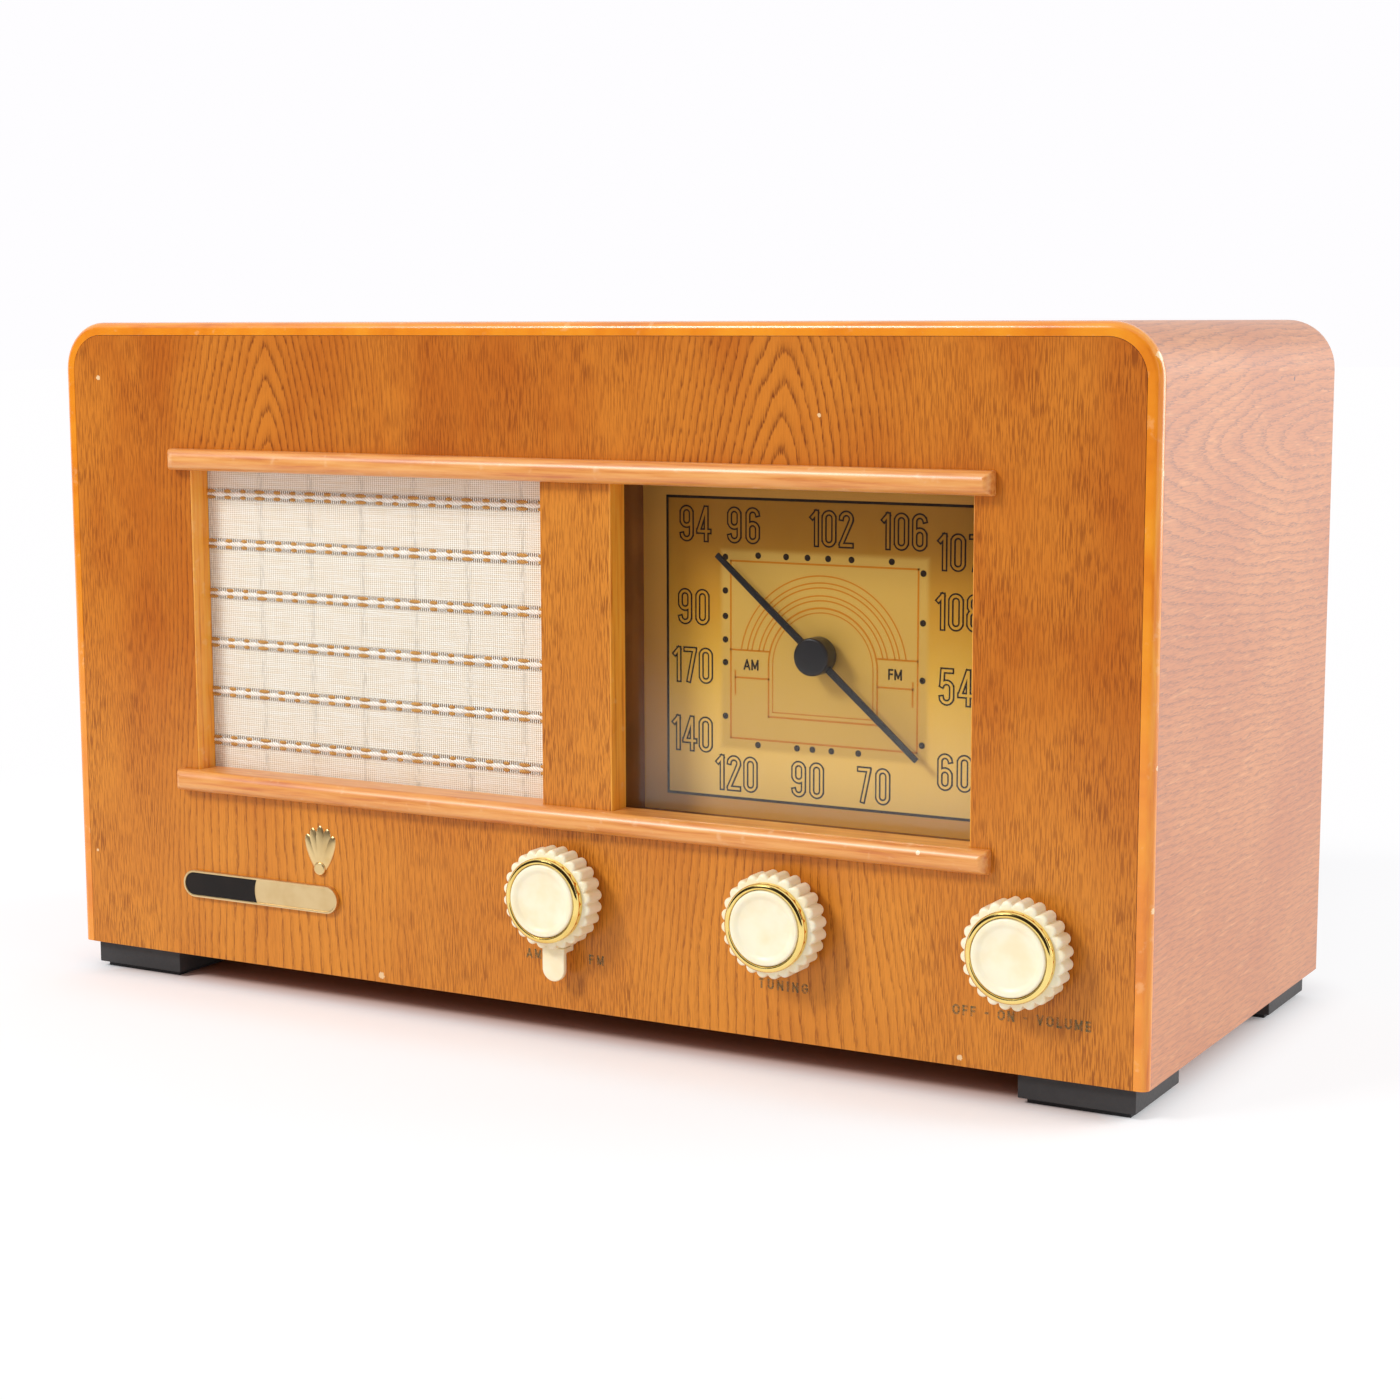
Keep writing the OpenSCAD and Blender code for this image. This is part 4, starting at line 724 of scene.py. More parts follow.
# Dial: glass, frame, printed plate and needle. Boxes are left, right, low and high, in millimetres
dial = {"frame": (25.2, 127.8, 73.0, 161.2), "square": (46.4, 106.3, 90.9, 143.0), "frameLine": 0.8,
        "inner": (216, 174, 80), "outer": (218, 156, 66), "shine": (232, 194, 104), "grain": (160, 116, 36),
        # brass runs from pale at the foot to deep at the top: painted light at the sill and painted shade
        # under the upper rail
        "brass": ((0.0, (250, 210, 112)), (0.35, (238, 190, 66)), (0.7, (208, 148, 26)),
                  (1.0, (168, 110, 10))),
        "ink": (30, 17, 7), "orange": (206, 126, 0), "faded": (140, 116, 78), "printRise": 0.03,
        "words": (("AM", 53.1), ("FM", 99.3)), "wordsUp": 112.8, "wordSize": (3.1, 0.56)}
numerals = {"height": 10.8, "stroke": 1.75, "edge": 0.5, "upper": 153.4, "lower": 80.3,
            "row": (("94", 34.6, 10.7), ("96", 50.6, 10.9), ("102", 79.2, 13.9), ("106", 101.9, 14.2)),
            "foot": (("120", 48.4, 13.9), ("90", 71.7, 10.7), ("70", 92.8, 10.7)),
            "left": (("90", 34.0, 128.9, 10.7), ("170", 33.7, 111.6, 13.5), ("140", 33.5, 91.1, 13.7)),
            "right": (("107", 119.2, 148.2, 14.0), ("108", 118.8, 131.5, 14.0), ("54", 118.2, 110.4, 10.8),
                      ("60", 118.0, 86.1, 10.8))}
dots = {"radius": 0.95, "top": (144.8, (55.4, 64.5, 71.4, 78.0, 85.4, 98.0)),
        "bottom": (89.3, (55.4, 68.2, 73.2, 79.3, 87.9)),
        "left": (44.6, (134.2, 126.7, 119.8, 113.1, 97.2, 144.0)),
        "right": (107.8, (141.9, 127.9, 111.6, 93.1))}
arches = {"centre": (76.3, 113.1), "radii": (26.7, 24.7, 23.3, 21.0, 19.6), "window": (17.45, 16.1),
          "windowFoot": (97.9, 99.3), "boxTop": 117.0, "boxFoot": 108.9, "tick": (110.7, 104.0),
          "tickIn": 1.5, "lines": (0.42, 0.56, 0.36)}


def makeBrassPrint():
    f = Finish("dial_brass_print", Metallic=0.15, Roughness=0.45, Specular_IOR_Level=0.2)
    x, y, z = f.inMillimetres()

    def boxDistance(left, right, low, high):
        sideways = abs(x - (left + right) / 2) - (right - left) / 2
        upwards = abs(z - (low + high) / 2) - (high - low) / 2
        return f.sum("MAXIMUM", sideways, upwards)

    # painted shade and light: the brass darkens towards the top, under the upper rail, and pales towards the
    # sill
    brass = f.ramp(f.spread(z, 73, 162), *dial["brass"])
    within = f.blend(f.spread(boxDistance(*dial["square"]), 2.0, 4.2), dial["inner"], brass)
    whole = f.blend(f.spread(boxDistance(*dial["frame"]), -0.2, 0.1), within, dial["outer"])
    whole = f.blend(f.noise(x * 0.05, 0.0, z * 0.03) * 0.25, whole, dial["shine"])
    grain = f.noise(x * 2.0, 0.0, z * 0.12)
    f.colour(f.blend(grain * 0.1, whole, dial["grain"]))
    f.relief(grain, strength=0.04, depth=0.02)
    return f.material


def makeInk(name, colour, worn=0.0):
    f = Finish(name, Roughness=0.55, Specular_IOR_Level=0.2)
    x, y, z = f.inMillimetres()
    fade = f.noise(x * 0.9, 0.0, z * 0.9, detail=3)
    f.colour(f.blend(fade * 0.12, colour, dial["faded"]))
    if worn:
        f.material.surface_render_method = "DITHERED"
        clear = f.add("BsdfTransparent").outputs[0]
        f.cover(f.spread(fade, 0.3, 0.75, 1 - worn * 0.5, 1 - worn), clear, f.shader.outputs[0])
    return f.material


def flatBar(x0, z0, x1, z1, thick, y):
    # A thin printed line between two points
    bpy.ops.mesh.primitive_plane_add(
        size=1, location=((x0 + x1) / 2, y, (z0 + z1) / 2),
        rotation=(math.pi / 2, -math.atan2(z1 - z0, x1 - x0), 0))
    return named("line", (math.hypot(x1 - x0, z1 - z0) + thick, thick, 1))


def flatFrame(left, right, low, high, thick, y):
    sides = ((left, low, right, low), (left, high, right, high), (left, low, left, high),
             (right, low, right, high))
    return [flatBar(*ends, thick, y) for ends in sides]


def flatArc(centreX, centreZ, radius, fromAngle, toAngle, thick, y, steps=20):
    # A printed arc: a short edge spun about the arc's centre
    bpy.ops.mesh.primitive_plane_add(size=1, location=(0, 0, 0))
    piece = named("arc")
    openEdit(piece, "FACE")
    bpy.ops.mesh.delete(type="ONLY_FACE")
    closeEdit()
    openEdit(piece, "VERT", lambda vertex: vertex.co.y > 0)
    bpy.ops.mesh.delete(type="VERT")
    closeEdit()
    start = math.radians(fromAngle)
    for vertex, reach in zip(piece.data.vertices, (radius - thick / 2, radius + thick / 2)):
        vertex.co = (centreX + reach * math.cos(start), y, centreZ + reach * math.sin(start))
    openEdit(piece, "EDGE")
    bpy.ops.mesh.spin(
        steps=steps, angle=math.radians(toAngle - fromAngle), center=(centreX, y, centreZ), axis=(0, 1, 0))
    closeEdit()
    return piece


def makeLines(y):
    thick, wide, fine = (line * mm for line in arches["lines"])
    centreX, centreZ = (value * mm for value in arches["centre"])
    left, right, low, high = (value * mm for value in dial["square"])
    boxTop, boxFoot = arches["boxTop"] * mm, arches["boxFoot"] * mm
    lines = flatFrame(left, right, low, high, wide, y)
    for radius in (radius * mm for radius in arches["radii"]):
        foot = math.degrees(math.asin((boxTop - centreZ) / radius))
        lines.append(flatArc(centreX, centreZ, radius, foot, 180 - foot, thick, y, 56))
    for radius, foot, line in zip(arches["window"], arches["windowFoot"], (wide, fine)):
        wallLeft, wallRight, foot = centreX - radius * mm, centreX + radius * mm, foot * mm
        lines.append(flatArc(centreX, centreZ, radius * mm, 0, 180, line, y, 56))
        lines.append(flatBar(wallLeft, foot, wallLeft, centreZ, line, y))
        lines.append(flatBar(wallRight, foot, wallRight, centreZ, line, y))
        lines.append(flatBar(wallLeft, foot, wallRight, foot, line, y))
    for edge, side in ((left, -1), (right, 1)):
        wall = centreX + side * arches["window"][0] * mm
        tickX = edge - side * arches["tickIn"] * mm
        lines.append(flatBar(edge, boxTop, wall, boxTop, wide, y))
        lines.append(flatBar(tickX, boxFoot, wall, boxFoot, wide, y))
        lines.append(flatBar(tickX, arches["tick"][0] * mm, tickX, arches["tick"][1] * mm, wide, y))
    return joined("orange_lines", *lines)


# Plain upright characters: a width, then straight and round strokes in thousandths of the height.
# Four numbers are a bar's ends, five are an arc's middle, radius and first and last angle
strokes = {
    "0": (0.45, ((-145, -275, -145, 275), (145, -275, 145, 275), (0, 275, 145, 0, 180),
                 (0, -275, 145, 180, 360))),
    "1": (0.27, ((50, -420, 50, 420), (40, 410, -70, 290))),
    "2": (0.45, ((0, 275, 145, -28, 172), (128, 200, -140, -380), (-145, -420, 145, -420))),
    "4": (0.47, ((75, -420, 75, 420), (55, 410, -150, -170), (-160, -200, 165, -200))),
    "5": (0.45, ((-90, 420, 130, 420), (-110, 420, -135, 60), (0, -30, 145, 0, 155), (145, -275, 145, -30),
                 (0, -275, 145, 190, 360))),
    "6": (0.45, ((0, 275, 145, 14, 180), (-145, -275, -145, 275), (0, -275, 145, 180, 360),
                 (145, -275, 145, -90), (0, -90, 145, 0, 180))),
    "7": (0.44, ((-135, 420, 135, 420), (135, 400, -40, -420))),
    "8": (0.45, ((0, 285, 135, 0, 180), (-135, 180, -135, 285), (135, 180, 135, 285),
                 (0, 180, 135, 180, 360), (0, -100, 145, 0, 180), (-145, -275, -145, -100),
                 (145, -275, 145, -100), (0, -275, 145, 180, 360))),
    "9": (0.45, ((0, -275, 145, 194, 360), (145, -275, 145, 275), (0, 275, 145, 0, 180),
                 (-145, 90, -145, 275), (0, 90, 145, 180, 360))),
    "A": (0.74, ((-280, -420, 0, 420), (0, 420, 280, -420), (-180, -180, 180, -180))),
    "E": (0.56, ((-180, -420, -180, 420), (-180, 420, 180, 420), (-180, 0, 140, 0),
                 (-180, -420, 180, -420))),
    "F": (0.54, ((-170, -420, -170, 420), (-170, 420, 180, 420), (-170, 20, 140, 20))),
    "G": (0.7, ((0, 160, 260, 30, 180), (-260, -160, -260, 160), (0, -160, 260, 180, 360),
                (260, -160, 260, -20), (60, -20, 260, -20))),
    "I": (0.2, ((0, -420, 0, 420),)),
    "L": (0.54, ((-170, -420, -170, 420), (-170, -420, 180, -420))),
    "M": (0.8, ((-300, -420, -300, 420), (-300, 400, 0, -300), (0, -300, 300, 400), (300, 420, 300, -420))),
    "N": (0.68, ((-250, -420, -250, 420), (-250, 400, 250, -400), (250, -420, 250, 420))),
    "O": (0.72, ((-270, -150, -270, 150), (270, -150, 270, 150), (0, 150, 270, 0, 180),
                 (0, -150, 270, 180, 360))),
    "T": (0.6, ((0, -420, 0, 420), (-220, 420, 220, 420))),
    "U": (0.68, ((-250, -170, -250, 420), (250, -170, 250, 420), (0, -170, 250, 180, 360))),
    "V": (0.7, ((-270, 420, 0, -420), (0, -420, 270, 420))),
    "-": (0.4, ((-90, 0, 90, 0),)),
    " ": (0.34, ()),
}
drawn = {}


def drawCharacter(character, height, thick):
    # Each character is drawn once for its size, at the origin, and copied from there
    key = (character, height, thick)
    layer, tip = -0.003 * mm, 0.001 * mm
    if key not in drawn:
        marks = []
        for stroke in strokes[character][1]:
            values = [value / 1000 * height * mm for value in stroke]
            if len(stroke) == 4:
                marks.append(flatBar(*values, thick * mm, layer * len(marks)))
                continue
            marks.append(flatArc(*values[:3], *stroke[3:], thick * mm, layer * len(marks)))
            for angle in (math.radians(end) for end in stroke[3:] if end % 180):
                tipX = values[0] + values[2] * math.cos(angle)
                tipZ = values[1] + values[2] * math.sin(angle)
                leadX, leadZ = -math.sin(angle) * tip, math.cos(angle) * tip
                marks.append(flatBar(tipX - leadX, tipZ - leadZ, tipX + leadX, tipZ + leadZ, thick * mm,
                                     layer * len(marks)))
        drawn[key] = joined("character", *marks)
        drawn[key].hide_render = True
    return drawn[key]


def copyCharacter(character, height, thick, x, y, z):
    piece = bpy.data.objects.new("mark", drawCharacter(character, height, thick).data.copy())
    scene.collection.objects.link(piece)
    pickOnly(piece)
    piece.location = (x * mm, y, z * mm)
    return named("mark")


def layWord(word, x, z, y, height, thick, gap=0.08, width=None):
    # A word centred on x, spaced out to a width where one is given
    total = sum(strokes[character][0] for character in word) * height
    space = (width - total) / max(len(word) - 1, 1) if width else gap * height
    start = x - (total + space * (len(word) - 1)) / 2
    marks = []
    for character in word:
        wide = strokes[character][0] * height
        if strokes[character][1]:
            marks.append(copyCharacter(character, height, thick, start + wide / 2, y, z))
        start += wide + space
    return joined("word", *marks)


def makeNumerals(inkY):
    places = [(words, x, numerals["upper"], width) for words, x, width in numerals["row"]]
    places += [(words, x, numerals["lower"], width) for words, x, width in numerals["foot"]]
    places += numerals["left"] + numerals["right"]
    height, thick, rims, fills = numerals["height"], numerals["stroke"], [], []
    for words, x, z, width in places:
        rims.append(layWord(words, x, z, inkY, height, thick, width=width))
        fills.append(layWord(words, x, z, inkY - 0.05 * mm, height, thick - 2 * numerals["edge"],
                             width=width))
    return joined("numeral_rims", *rims), joined("numeral_fills", *fills)


def makeDots(y):
    places = [(x, dots[row][0]) for row in ("top", "bottom") for x in dots[row][1]]
    places += [(dots[row][0], z) for row in ("left", "right") for z in dots[row][1]]
    marks = []
    for x, z in places:
        bpy.ops.mesh.primitive_circle_add(
            vertices=28, radius=dots["radius"] * mm, fill_type="NGON", location=(x * mm, y, z * mm),
            rotation=facingFront)
        marks.append(named("dot"))
    marks += flatFrame(*(value * mm for value in dial["frame"]), dial["frameLine"] * mm, y)
    marks += [layWord(word, x, dial["wordsUp"], y, *dial["wordSize"]) for word, x in dial["words"]]
    return joined("dial_marks", *marks)


def makeDialPlate():
    brassPrint = makeBrassPrint()
    dress(copyOf("dial_plate", "printed_plate"), brassPrint, "dial_brass", "dial_plate")
    inkY = plateLow.y - dial["printRise"] * mm
    rims, fills = makeNumerals(inkY)
    ink = makeInk("dial_ink", dial["ink"])
    dress(rims, ink, "dial_brass")
    dress(fills, brassPrint, "dial_brass")
    dress(makeLines(inkY), makeInk("orange_ink", dial["orange"]), "dial_brass")
    dress(makeDots(inkY), ink, "dial_brass")


def makePlastic(name, colour, second, roughness, grainScale=1.2, grainDepth=0.03, **settings):
    f = Finish(name, Roughness=roughness, **settings)
    x, y, z = f.inMillimetres()
    grain = f.noise(x, y, z, scale=grainScale, detail=3)
    f.colour(f.blend(f.spread(f.noise(x, y, z, scale=0.08), 0.3, 0.7), colour, second))
    f.roughness(f.spread(grain, 0.2, 0.8, roughness - 0.05, roughness + 0.07))
    f.relief(grain, strength=0.08, depth=grainDepth)
    return f.material


def makeMetal(name, colour, second, roughness):
    f = Finish(name, Metallic=1.0, Roughness=roughness)
    wear = f.noise(*f.inMillimetres(), scale=0.14)
    f.colour(f.blend(f.spread(wear, 0.35, 0.75), colour, second))
    f.roughness(f.spread(wear, 0.3, 0.8, roughness, roughness + 0.08))
    return f.material


pane = {"tint": (250, 250, 250), "roughness": 0.14, "mirror": 0.035, "steep": 0.8, "dust": 0.01,
        "paintedReflection": 0.006, "paintedReflectionFrom": 98, "paintedReflectionTo": 76}


def makeDialGlass():
    # Clear, with a mirror that grows towards a flat angle, a trace of dust, and a painted reflection that
    # grows towards the sill
    f = Finish("dial_pane_clear", Roughness=pane["roughness"], Metallic=1.0)
    f.colour(pane["tint"])
    x, y, z = f.inMillimetres()
    facing = f.add("LayerWeight", 0.5).outputs["Facing"]
    steep = f.sum("POWER", facing, 5.0) * pane["steep"]
    dust = f.spread(f.noise(x, y, z, scale=0.06, detail=3), 0.4, 0.8, 0.0, pane["dust"])
    # painted reflection: the pane mirrors more towards the sill
    paintedReflection = f.spread(z, pane["paintedReflectionFrom"], pane["paintedReflectionTo"], 0.0, pane["paintedReflection"])
    f.cover(steep + pane["mirror"] + (dust + paintedReflection), f.add("BsdfTransparent").outputs[0], f.shader.outputs[0])
    dress(copyOf("dial_glass", "dial_pane"), f.material, "clear_acrylic", "dial_glass")


needle = {"angle": 139, "reach": 42.4, "width": 2.2, "tip": 0.75, "thick": 0.8, "hubWidth": 11.0,
          "rim": 1.6, "hollow": 0.12, "black": (22, 20, 24), "shade": (30, 27, 31)}


def makeNeedle():
    low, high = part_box("pointer")
    middle = (dialX, middleOf("pointer")[1], dialZ)
    bpy.ops.mesh.primitive_cube_add(size=1, location=middle)
    arm = named("needle_arm", (2 * needle["reach"] * mm, needle["thick"] * mm, needle["width"] * mm))
    openEdit(arm, "EDGE", lambda edge: abs(edge.verts[0].co.x - edge.verts[1].co.x) > mm)
    bpy.ops.mesh.subdivide(number_cuts=1)
    pickParts(arm, "VERT", lambda vertex: abs(vertex.co.x - dialX) > mm)
    bpy.ops.transform.resize(value=(1, 1, needle["tip"]), center_override=middle)
    bpy.ops.mesh.select_all(action="SELECT")
    bpy.ops.transform.rotate(value=math.radians(needle["angle"]), orient_axis="Y", center_override=middle)
    closeEdit()
    softenEdges(arm, 0.12 * mm)
    hub = addDisc("needle_hub", needle["hubWidth"] / 2 * mm, high.y - low.y, middle, 72)
    openEdit(hub, "FACE", lambda face: face.normal.y < -0.9)
    bpy.ops.mesh.inset(thickness=needle["rim"] * mm, depth=0)
    bpy.ops.transform.translate(value=(0, needle["hollow"] * mm, 0))
    closeEdit()
    softenEdges(hub, 0.8 * mm, 4, angle=60)
    black = makePlastic("needle_black", needle["black"], needle["shade"], 0.34, grainDepth=0.004)
    dress(joined("needle", arm, hub), black, "pointer_black", "pointer", body="pointer")


makeDialPlate()
spacerBrown = makePlastic("brown_spacer", (104, 60, 26), (128, 78, 34), 0.5)
softCopy("dial_frame", "dial_spacer", spacerBrown, "brown_plastic", 0.3)
makeDialGlass()
makeNeedle()
print("dial made")


# Three ribbed knobs with gold rings, and the band lever
knob = {"ribs": 24, "steps": 12, "crest": 15.1, "valley": 13.9, "ribWidth": 3.3, "skirt": 7.0, "face": 10.8,
        "faceDeep": 3.2, "faceProud": 2.7, "faceEdge": 0.7, "back": 3.2, "frontEdge": 1.1,
        "dish": ((0.7, 0), (0.45, -0.14), (0.6, -0.3), (0.5, -0.12), (3.5, -0.08)),
        "cream": (255, 247, 216), "shade": (252, 236, 194)}
ring = {"radius": 12.7, "gold": ((250, 224, 140), (240, 206, 116), 0.07),
        "outline": ((-1.55, 12.7), (-0.35, 12.6), (-0.3, 12.3), (-0.2, 11.9), (-0.1, 11.5), (0.05, 11.2),
                    (0.25, 11.0), (2.2, 10.9))}


def ribOutline(phase):
    # Radius of the ribbed outline at a phase of one rib, 0 at its crest
    turn = 2 * math.pi / knob["ribs"] * phase
    half = knob["ribWidth"] / 2
    run = knob["crest"] - half
    across = run * math.sin(turn)
    if abs(across) < half:
        return max(run * math.cos(turn) + math.sqrt(half ** 2 - across ** 2), knob["valley"])
    return knob["valley"]


def makeKnobBody(name, backY, front):
    centre = (knobX[name], backY, knobZ)
    bpy.ops.mesh.primitive_circle_add(
        vertices=knob["ribs"] * knob["steps"], radius=knob["valley"] * mm, fill_type="NGON",
        location=centre, rotation=facingFront)
    piece = named(name + "_cap")
    openEdit(piece)
    for step in range(knob["steps"]):
        phase = (step + 0.5) / knob["steps"] - 0.5
        pickParts(piece, "VERT", lambda vertex: vertex.index % knob["steps"] == step)
        bpy.ops.transform.resize(value=(ribOutline(phase) / knob["valley"],) * 3, center_override=centre)
    pickParts(piece, "FACE", lambda face: True)
    # Straight skirt first, then a quarter round in four steps
    edge = knob["frontEdge"] * mm
    moves = [(front - backY + edge, 1.0)]
    for first, last in ((math.radians(22.5 * step), math.radians(22.5 * (step + 1))) for step in range(4)):
        moves.append((-edge * (math.sin(last) - math.sin(first)),
                      1 - edge / (knob["crest"] * mm) * (math.cos(first) - math.cos(last))))
    for move, size in moves:
        bpy.ops.mesh.extrude_region_move(TRANSFORM_OT_translate={"value": (0, move, 0)})
        bpy.ops.transform.resize(value=(size, 1, size), center_override=(knobX[name], front, knobZ))
    closeEdit()
    openEdit(piece)
    bpy.ops.mesh.normals_make_consistent(inside=False)
    closeEdit()
    smoothShade(piece, 50)
    return piece


def makeKnob(name):
    backY = frontY - knob["back"] * mm
    front = backY - knob["skirt"] * mm
    body = makeKnobBody(name, backY, front)
    depth = knob["faceDeep"] * mm
    place = (knobX[name], front - knob["faceProud"] * mm + depth / 2, knobZ)
    face = addDisc("face", knob["face"] * mm, depth, place)
    softenEdges(face, knob["faceEdge"] * mm, 5)
    openEdit(face, "FACE", lambda part: part.normal.y < -0.99)
    for width, depth in knob["dish"]:
        bpy.ops.mesh.inset(thickness=width * mm, depth=depth * mm)
    closeEdit()
    smoothShade(face, 50)
    return joined(name + "_cap", body, face)


def makeRing(name):
    # A barrel with a rolled front: a circle drawn forwards, in over the front and back inside
    centre = (knobX[name], frontY - (knob["back"] + knob["skirt"]) * mm, knobZ)
    radius = ring["radius"]
    bpy.ops.mesh.primitive_circle_add(vertices=96, radius=radius * mm, location=centre, rotation=facingFront)
    piece = named(name + "_trim")
    openEdit(piece, "EDGE")
    for move, reach in ring["outline"]:
        bpy.ops.mesh.extrude_edges_move(TRANSFORM_OT_translate={"value": (0, move * mm, 0)})
        bpy.ops.transform.resize(value=(reach / radius, 1, reach / radius), center_override=centre)
        radius = reach
    pickParts(piece, "EDGE", lambda edge: edge.is_boundary)
    bpy.ops.mesh.bridge_edge_loops()
    bpy.ops.mesh.select_all(action="SELECT")
    bpy.ops.mesh.normals_make_consistent(inside=False)
    closeEdit()
    smoothShade(piece, 50)
    return piece


def makeCream():
    f = Finish("cream_plastic", Roughness=0.34, Coat_Weight=0.15, Subsurface_Weight=0.12,
               Subsurface_Radius=(1.0, 0.75, 0.4), Subsurface_Scale=1.5 * mm)
    x, y, z = f.inMillimetres()
    cloud = f.noise(x, y, z, scale=0.12, detail=3)
    f.colour(f.blend(f.spread(cloud, 0.35, 0.75), knob["cream"], knob["shade"]))
    f.relief(f.noise(x, y, z, scale=1.6), strength=0.04, depth=0.03)
    return f.material


cream = makeCream()
ringGold = makeMetal("ring_gold", *ring["gold"])
for name in knobX:
    dress(makeKnob(name), cream, "knob_cream", name + "_knob", body=name + "_knob")
    dress(makeRing(name), ringGold, "gold_trim", name + "_knob_ring", body=name + "_knob")
softCopy("band_lever", "band_tab", cream, "knob_cream", 0.35, 3, body="band_lever")
print("knobs and lever made")


# Badges and the faint labels on the panel
badge = {"enamelTo": -112.0, "enamel": ((20, 13, 9), (28, 19, 13), 0.34), "rim": 0.75, "sink": 0.45,
         "gold": ((236, 208, 156), (228, 196, 140), 0.34), "thick": 0.3, "hollow": 9, "hollowWide": 1.5}
emblem = {"petals": ((0, 15.2), (-12, 14.6), (12, 14.6), (-23.5, 13.2), (23.5, 13.2)), "petalWidth": 4.3,
          "rise": 0.75, "sunk": 0.05, "rootUp": 0.8, "boss": 2.1, "bossThick": 1.1, "bossUp": 1.5,
          "gold": ((238, 208, 150), (226, 190, 126), 0.3)}
labels = {"tint": (128, 116, 78), "worn": 0.76, "height": 2.8, "stroke": 0.62, "rise": 0.03,
          "words": (("AM", -7.7, 24.7, 5.2), ("FM", 14.2, 25.2, 5.0), ("TUNING", 76.4, 25.0, 15.7),
                    ("OFF - ON - VOLUME", 148.9, 25.0, 40.3))}


def makePlateBadge():
    low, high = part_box("name_plate")
    softCopy("name_plate", "plain_badge", makeMetal("badge_gold", *badge["gold"]), "badge_gold", 0.2)
    height, width = high.z - low.z - 2 * badge["rim"] * mm, high.x - low.x - 2 * badge["rim"] * mm
    middleX, unused, middleZ = middleOf("name_plate")
    bpy.ops.mesh.primitive_cube_add(size=1, location=(middleX, low.y + badge["sink"] * mm, middleZ))
    enamel = named("badge_enamel", (width, badge["thick"] * mm, height))
    openEdit(enamel, "EDGE", lambda edge: abs(edge.verts[0].co.y - edge.verts[1].co.y) > 0.1 * mm)
    bpy.ops.mesh.bevel(offset=height / 2 * 0.995, segments=16, affect="EDGES")
    closeEdit()
    # The enamel ends in a hollow curve
    cutter = addDisc("cutter", badge["hollow"] * mm, 2 * mm,
                     ((badge["enamelTo"] + badge["hollow"]) * mm, low.y, middleZ))
    modify(enamel, "BOOLEAN", operation="DIFFERENCE", object=cutter, solver="EXACT")
    cutOff(enamel, ((badge["enamelTo"] + badge["hollowWide"]) * mm, 0, 0), (1, 0, 0))
    closeEdit()
    bpy.data.objects.remove(cutter)
    black = makePlastic("badge_black", *badge["enamel"], Specular_IOR_Level=0.25)
    dress(enamel, black, "badge_gold")


def makeEmblem():
    # A plain shell ornament: five petals spread from a small boss
    middleX, rootZ = middleOf("emblem")[0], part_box("emblem")[0].z + emblem["rootUp"] * mm
    parts = []
    for turn, length in emblem["petals"]:
        bpy.ops.mesh.primitive_uv_sphere_add(
            segments=24, ring_count=12, radius=0.5 * mm,
            location=(middleX, frontY, rootZ + length / 2 * mm))
        petal = named("petal", (emblem["petalWidth"], 2 * emblem["rise"], length))
        cutOff(petal, (0, frontY + emblem["sunk"] * mm, 0), (0, 1, 0))
        bpy.ops.mesh.select_all(action="SELECT")
        bpy.ops.transform.rotate(
            value=math.radians(turn), orient_axis="Y", center_override=(middleX, frontY, rootZ))
        closeEdit()
        parts.append(petal)
    thick = emblem["bossThick"] * mm
    place = (middleX, frontY - thick / 2, rootZ + emblem["bossUp"] * mm)
    boss = addDisc("boss", emblem["boss"] * mm, thick, place, 48)
    softenEdges(boss, 0.5 * mm, 4)
    piece = joined("shell_emblem", *parts, boss)
    smoothShade(piece, 40)
    dress(piece, makeMetal("emblem_gold", *emblem["gold"]), "badge_gold", "emblem")


def makeLabels():
    y = frontY - labels["rise"] * mm
    pieces = [layWord(words, x, z, y, labels["height"], labels["stroke"], width=width)
              for words, x, z, width in labels["words"]]
    ink = makeInk("label_ink", labels["tint"], labels["worn"])
    dress(joined("panel_labels", *pieces), ink, "front_veneer")
    for model in drawn.values():  # no more words follow
        bpy.data.objects.remove(model)


makePlateBadge()
makeEmblem()
makeLabels()
print("badges and labels made")


# Feet, back and its fittings, with the width of each softened edge
hardboard = {"first": (96, 68, 46), "second": (116, 84, 58), "fibre": (70, 48, 32), "roughness": 0.7}
footBlack = makePlastic("foot_black", (44, 42, 42), (54, 52, 52), 0.55)
brass = makeMetal("turned_brass", (214, 178, 96), (186, 148, 74), 0.3)


def makeHardboard():
    f = Finish("brown_hardboard", Roughness=hardboard["roughness"])
    x, y, z = f.inMillimetres()
    fibre = f.noise(x * 0.9, 0.0, z * 0.9, detail=5, roughness=0.7)
    base = f.blend(f.noise(x, y, z, scale=0.02), hardboard["first"], hardboard["second"])
    f.colour(f.blend(f.spread(fibre, 0.4, 0.75), base, hardboard["fibre"]))
    f.relief(fibre, strength=0.4, depth=0.12)
    return f.material


softCopy("feet", "rubber_feet", footBlack, "black_plastic", 0.5)
softCopy("foot_pads", "pads", makePlastic("pad_black", (28, 28, 30), (40, 40, 42), 0.7), "black_rubber", 0.3)
softCopy("back_panel", "rear_board", makeHardboard(), "hardboard", 0.25)
softCopy("power_inlet", "mains_inlet", footBlack, "black_plastic", 0.4)
softCopy("aerial_terminals", "terminal_screws", brass, "brass", 0.3)
blackSteel = makePlastic("blackened_steel", (40, 40, 42), (56, 56, 58), 0.4)
softCopy("back_screws", "rear_screws", blackSteel, "black_metal", 0.25)
print("feet and back made")

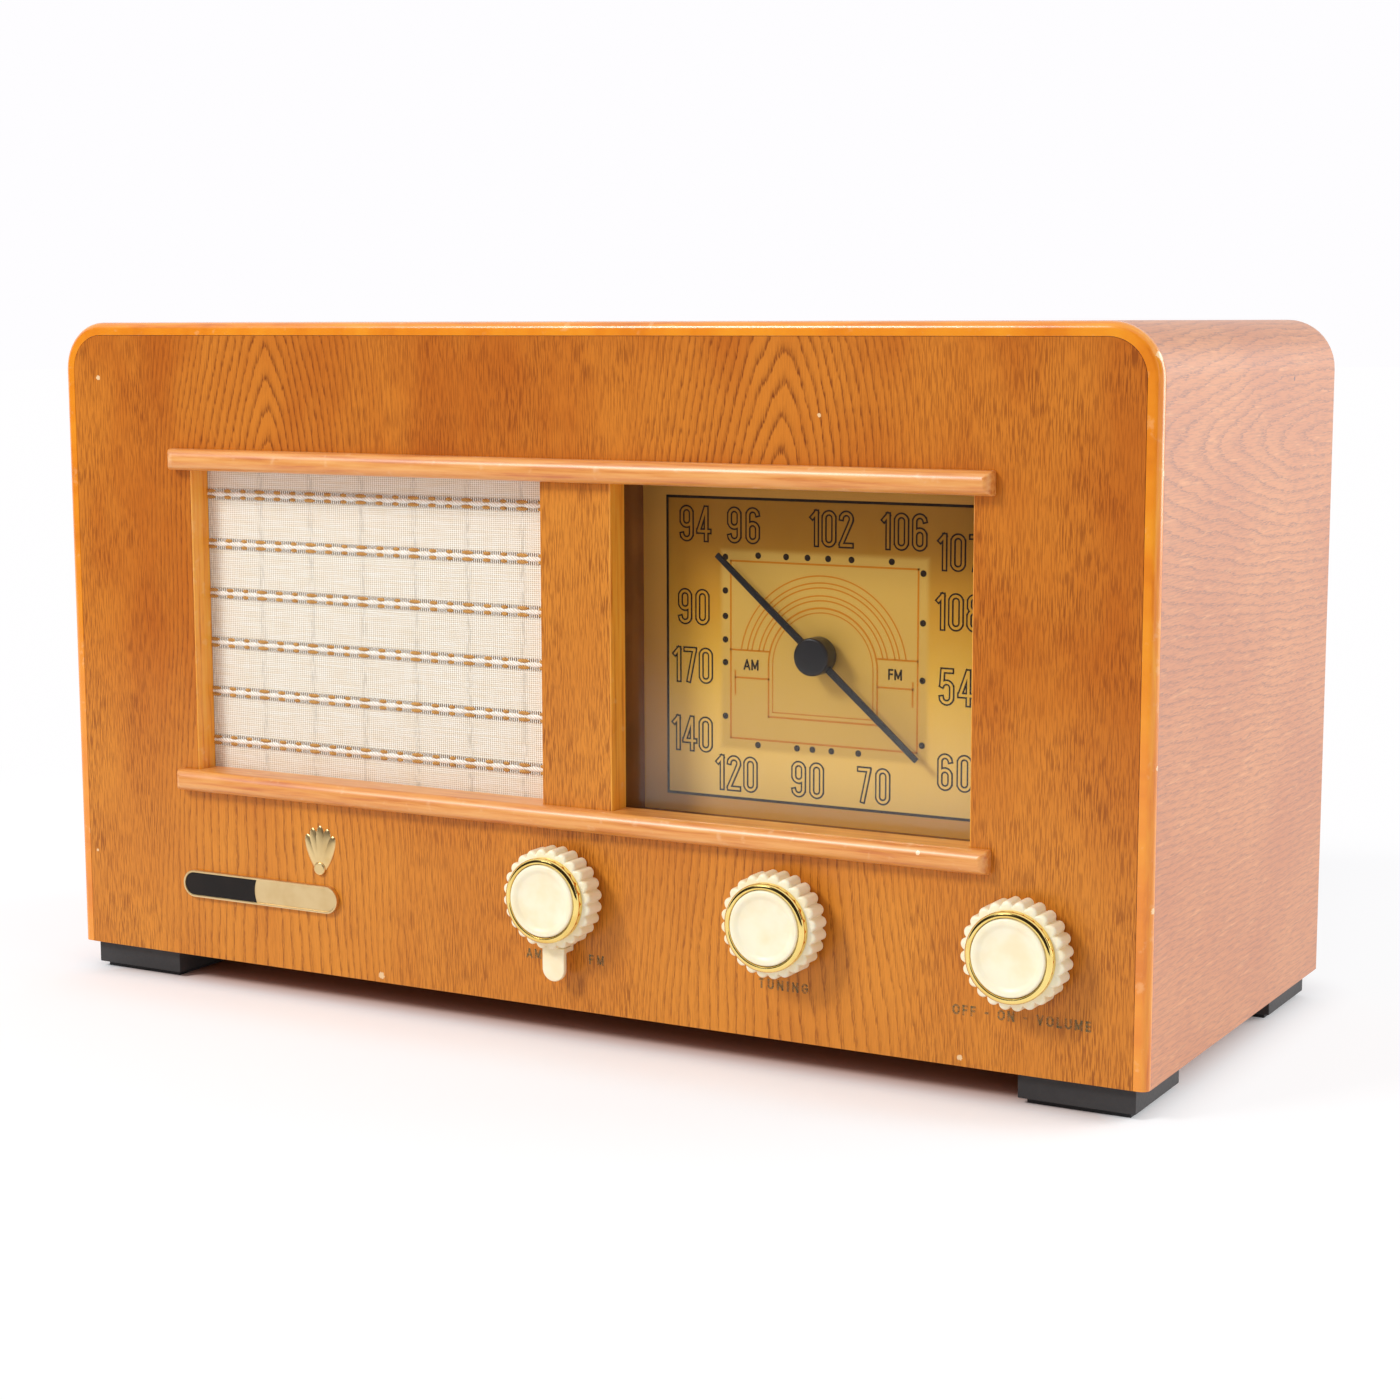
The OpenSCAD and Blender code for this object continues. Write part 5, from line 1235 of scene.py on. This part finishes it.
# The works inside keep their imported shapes: two colours, roughness, grain and nodes of each finish
matt = {
    "raw_chipboard": ((180, 140, 94), (158, 118, 74), 0.8, 0.9, "speaker_baffle"),
    "stained_board": ((132, 72, 34), (112, 60, 28), 0.7, 0.9, "bottom_board"),
    "brown_phenolic": ((92, 62, 38), (110, 78, 50), 0.5, 1.2, "tone_potentiometer", "volume_potentiometer",
                       "band_switch"),
    "white_nylon": ((230, 226, 212), (214, 208, 190), 0.5, 1.2, "lamp_holders", "drive_drum", "rod_clips"),
    "dark_suspension": ((42, 38, 36), (60, 56, 52), 0.85, 1.2, "speaker_suspension"),
    "cone_paper": ((56, 52, 48), (72, 66, 60), 0.9, 1.2, "speaker_cone"),
    "grey_ferrite": ((58, 58, 62), (74, 74, 78), 0.6, 1.2, "speaker_magnet", "ferrite_aerial"),
    "lamp_glass": ((255, 240, 196), (250, 228, 170), 0.1, 1.2, "dial_lamps"),
    "drive_cord": ((220, 204, 164), (190, 172, 130), 0.8, 1.2, "drive_cord"),
    "board_laminate": ((128, 108, 46), (112, 96, 40), 0.5, 1.2, "circuit_board"),
    "capacitor_sleeve": ((44, 72, 122), (36, 60, 104), 0.4, 1.2, "filter_capacitors"),
    "core_iron": ((84, 86, 92), (104, 104, 108), 0.5, 1.2, "transformer_core"),
}
metal = {
    "plated_steel": ((196, 196, 192), (170, 170, 168), 0.32, "speaker_frame", "speaker_yoke",
                     "pointer_shaft", "tuning_bracket", "capacitor_frame", "tone_shaft", "band_sleeve",
                     "tuning_spindle", "volume_shaft", "chassis", "wood_screws"),
    "dull_aluminium": ((214, 216, 218), (190, 192, 196), 0.42, "capacitor_stator", "capacitor_rotor",
                       "coil_cans"),
    "copper_winding": ((190, 112, 60), (160, 88, 44), 0.4, "transformer_coil"),
}


def finishNodes(material, names):
    for name in names:
        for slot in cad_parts[name].material_slots:
            slot.material = material


for name, (colour, second, rough, grain, *nodes) in matt.items():
    finishNodes(makePlastic(name, colour, second, rough, grain), nodes)
for name, (colour, second, rough, *nodes) in metal.items():
    finishNodes(makeMetal(name, colour, second, rough), nodes)
finishNodes(brass, ("tuning_bush", "control_nuts"))
print("inner works finished")
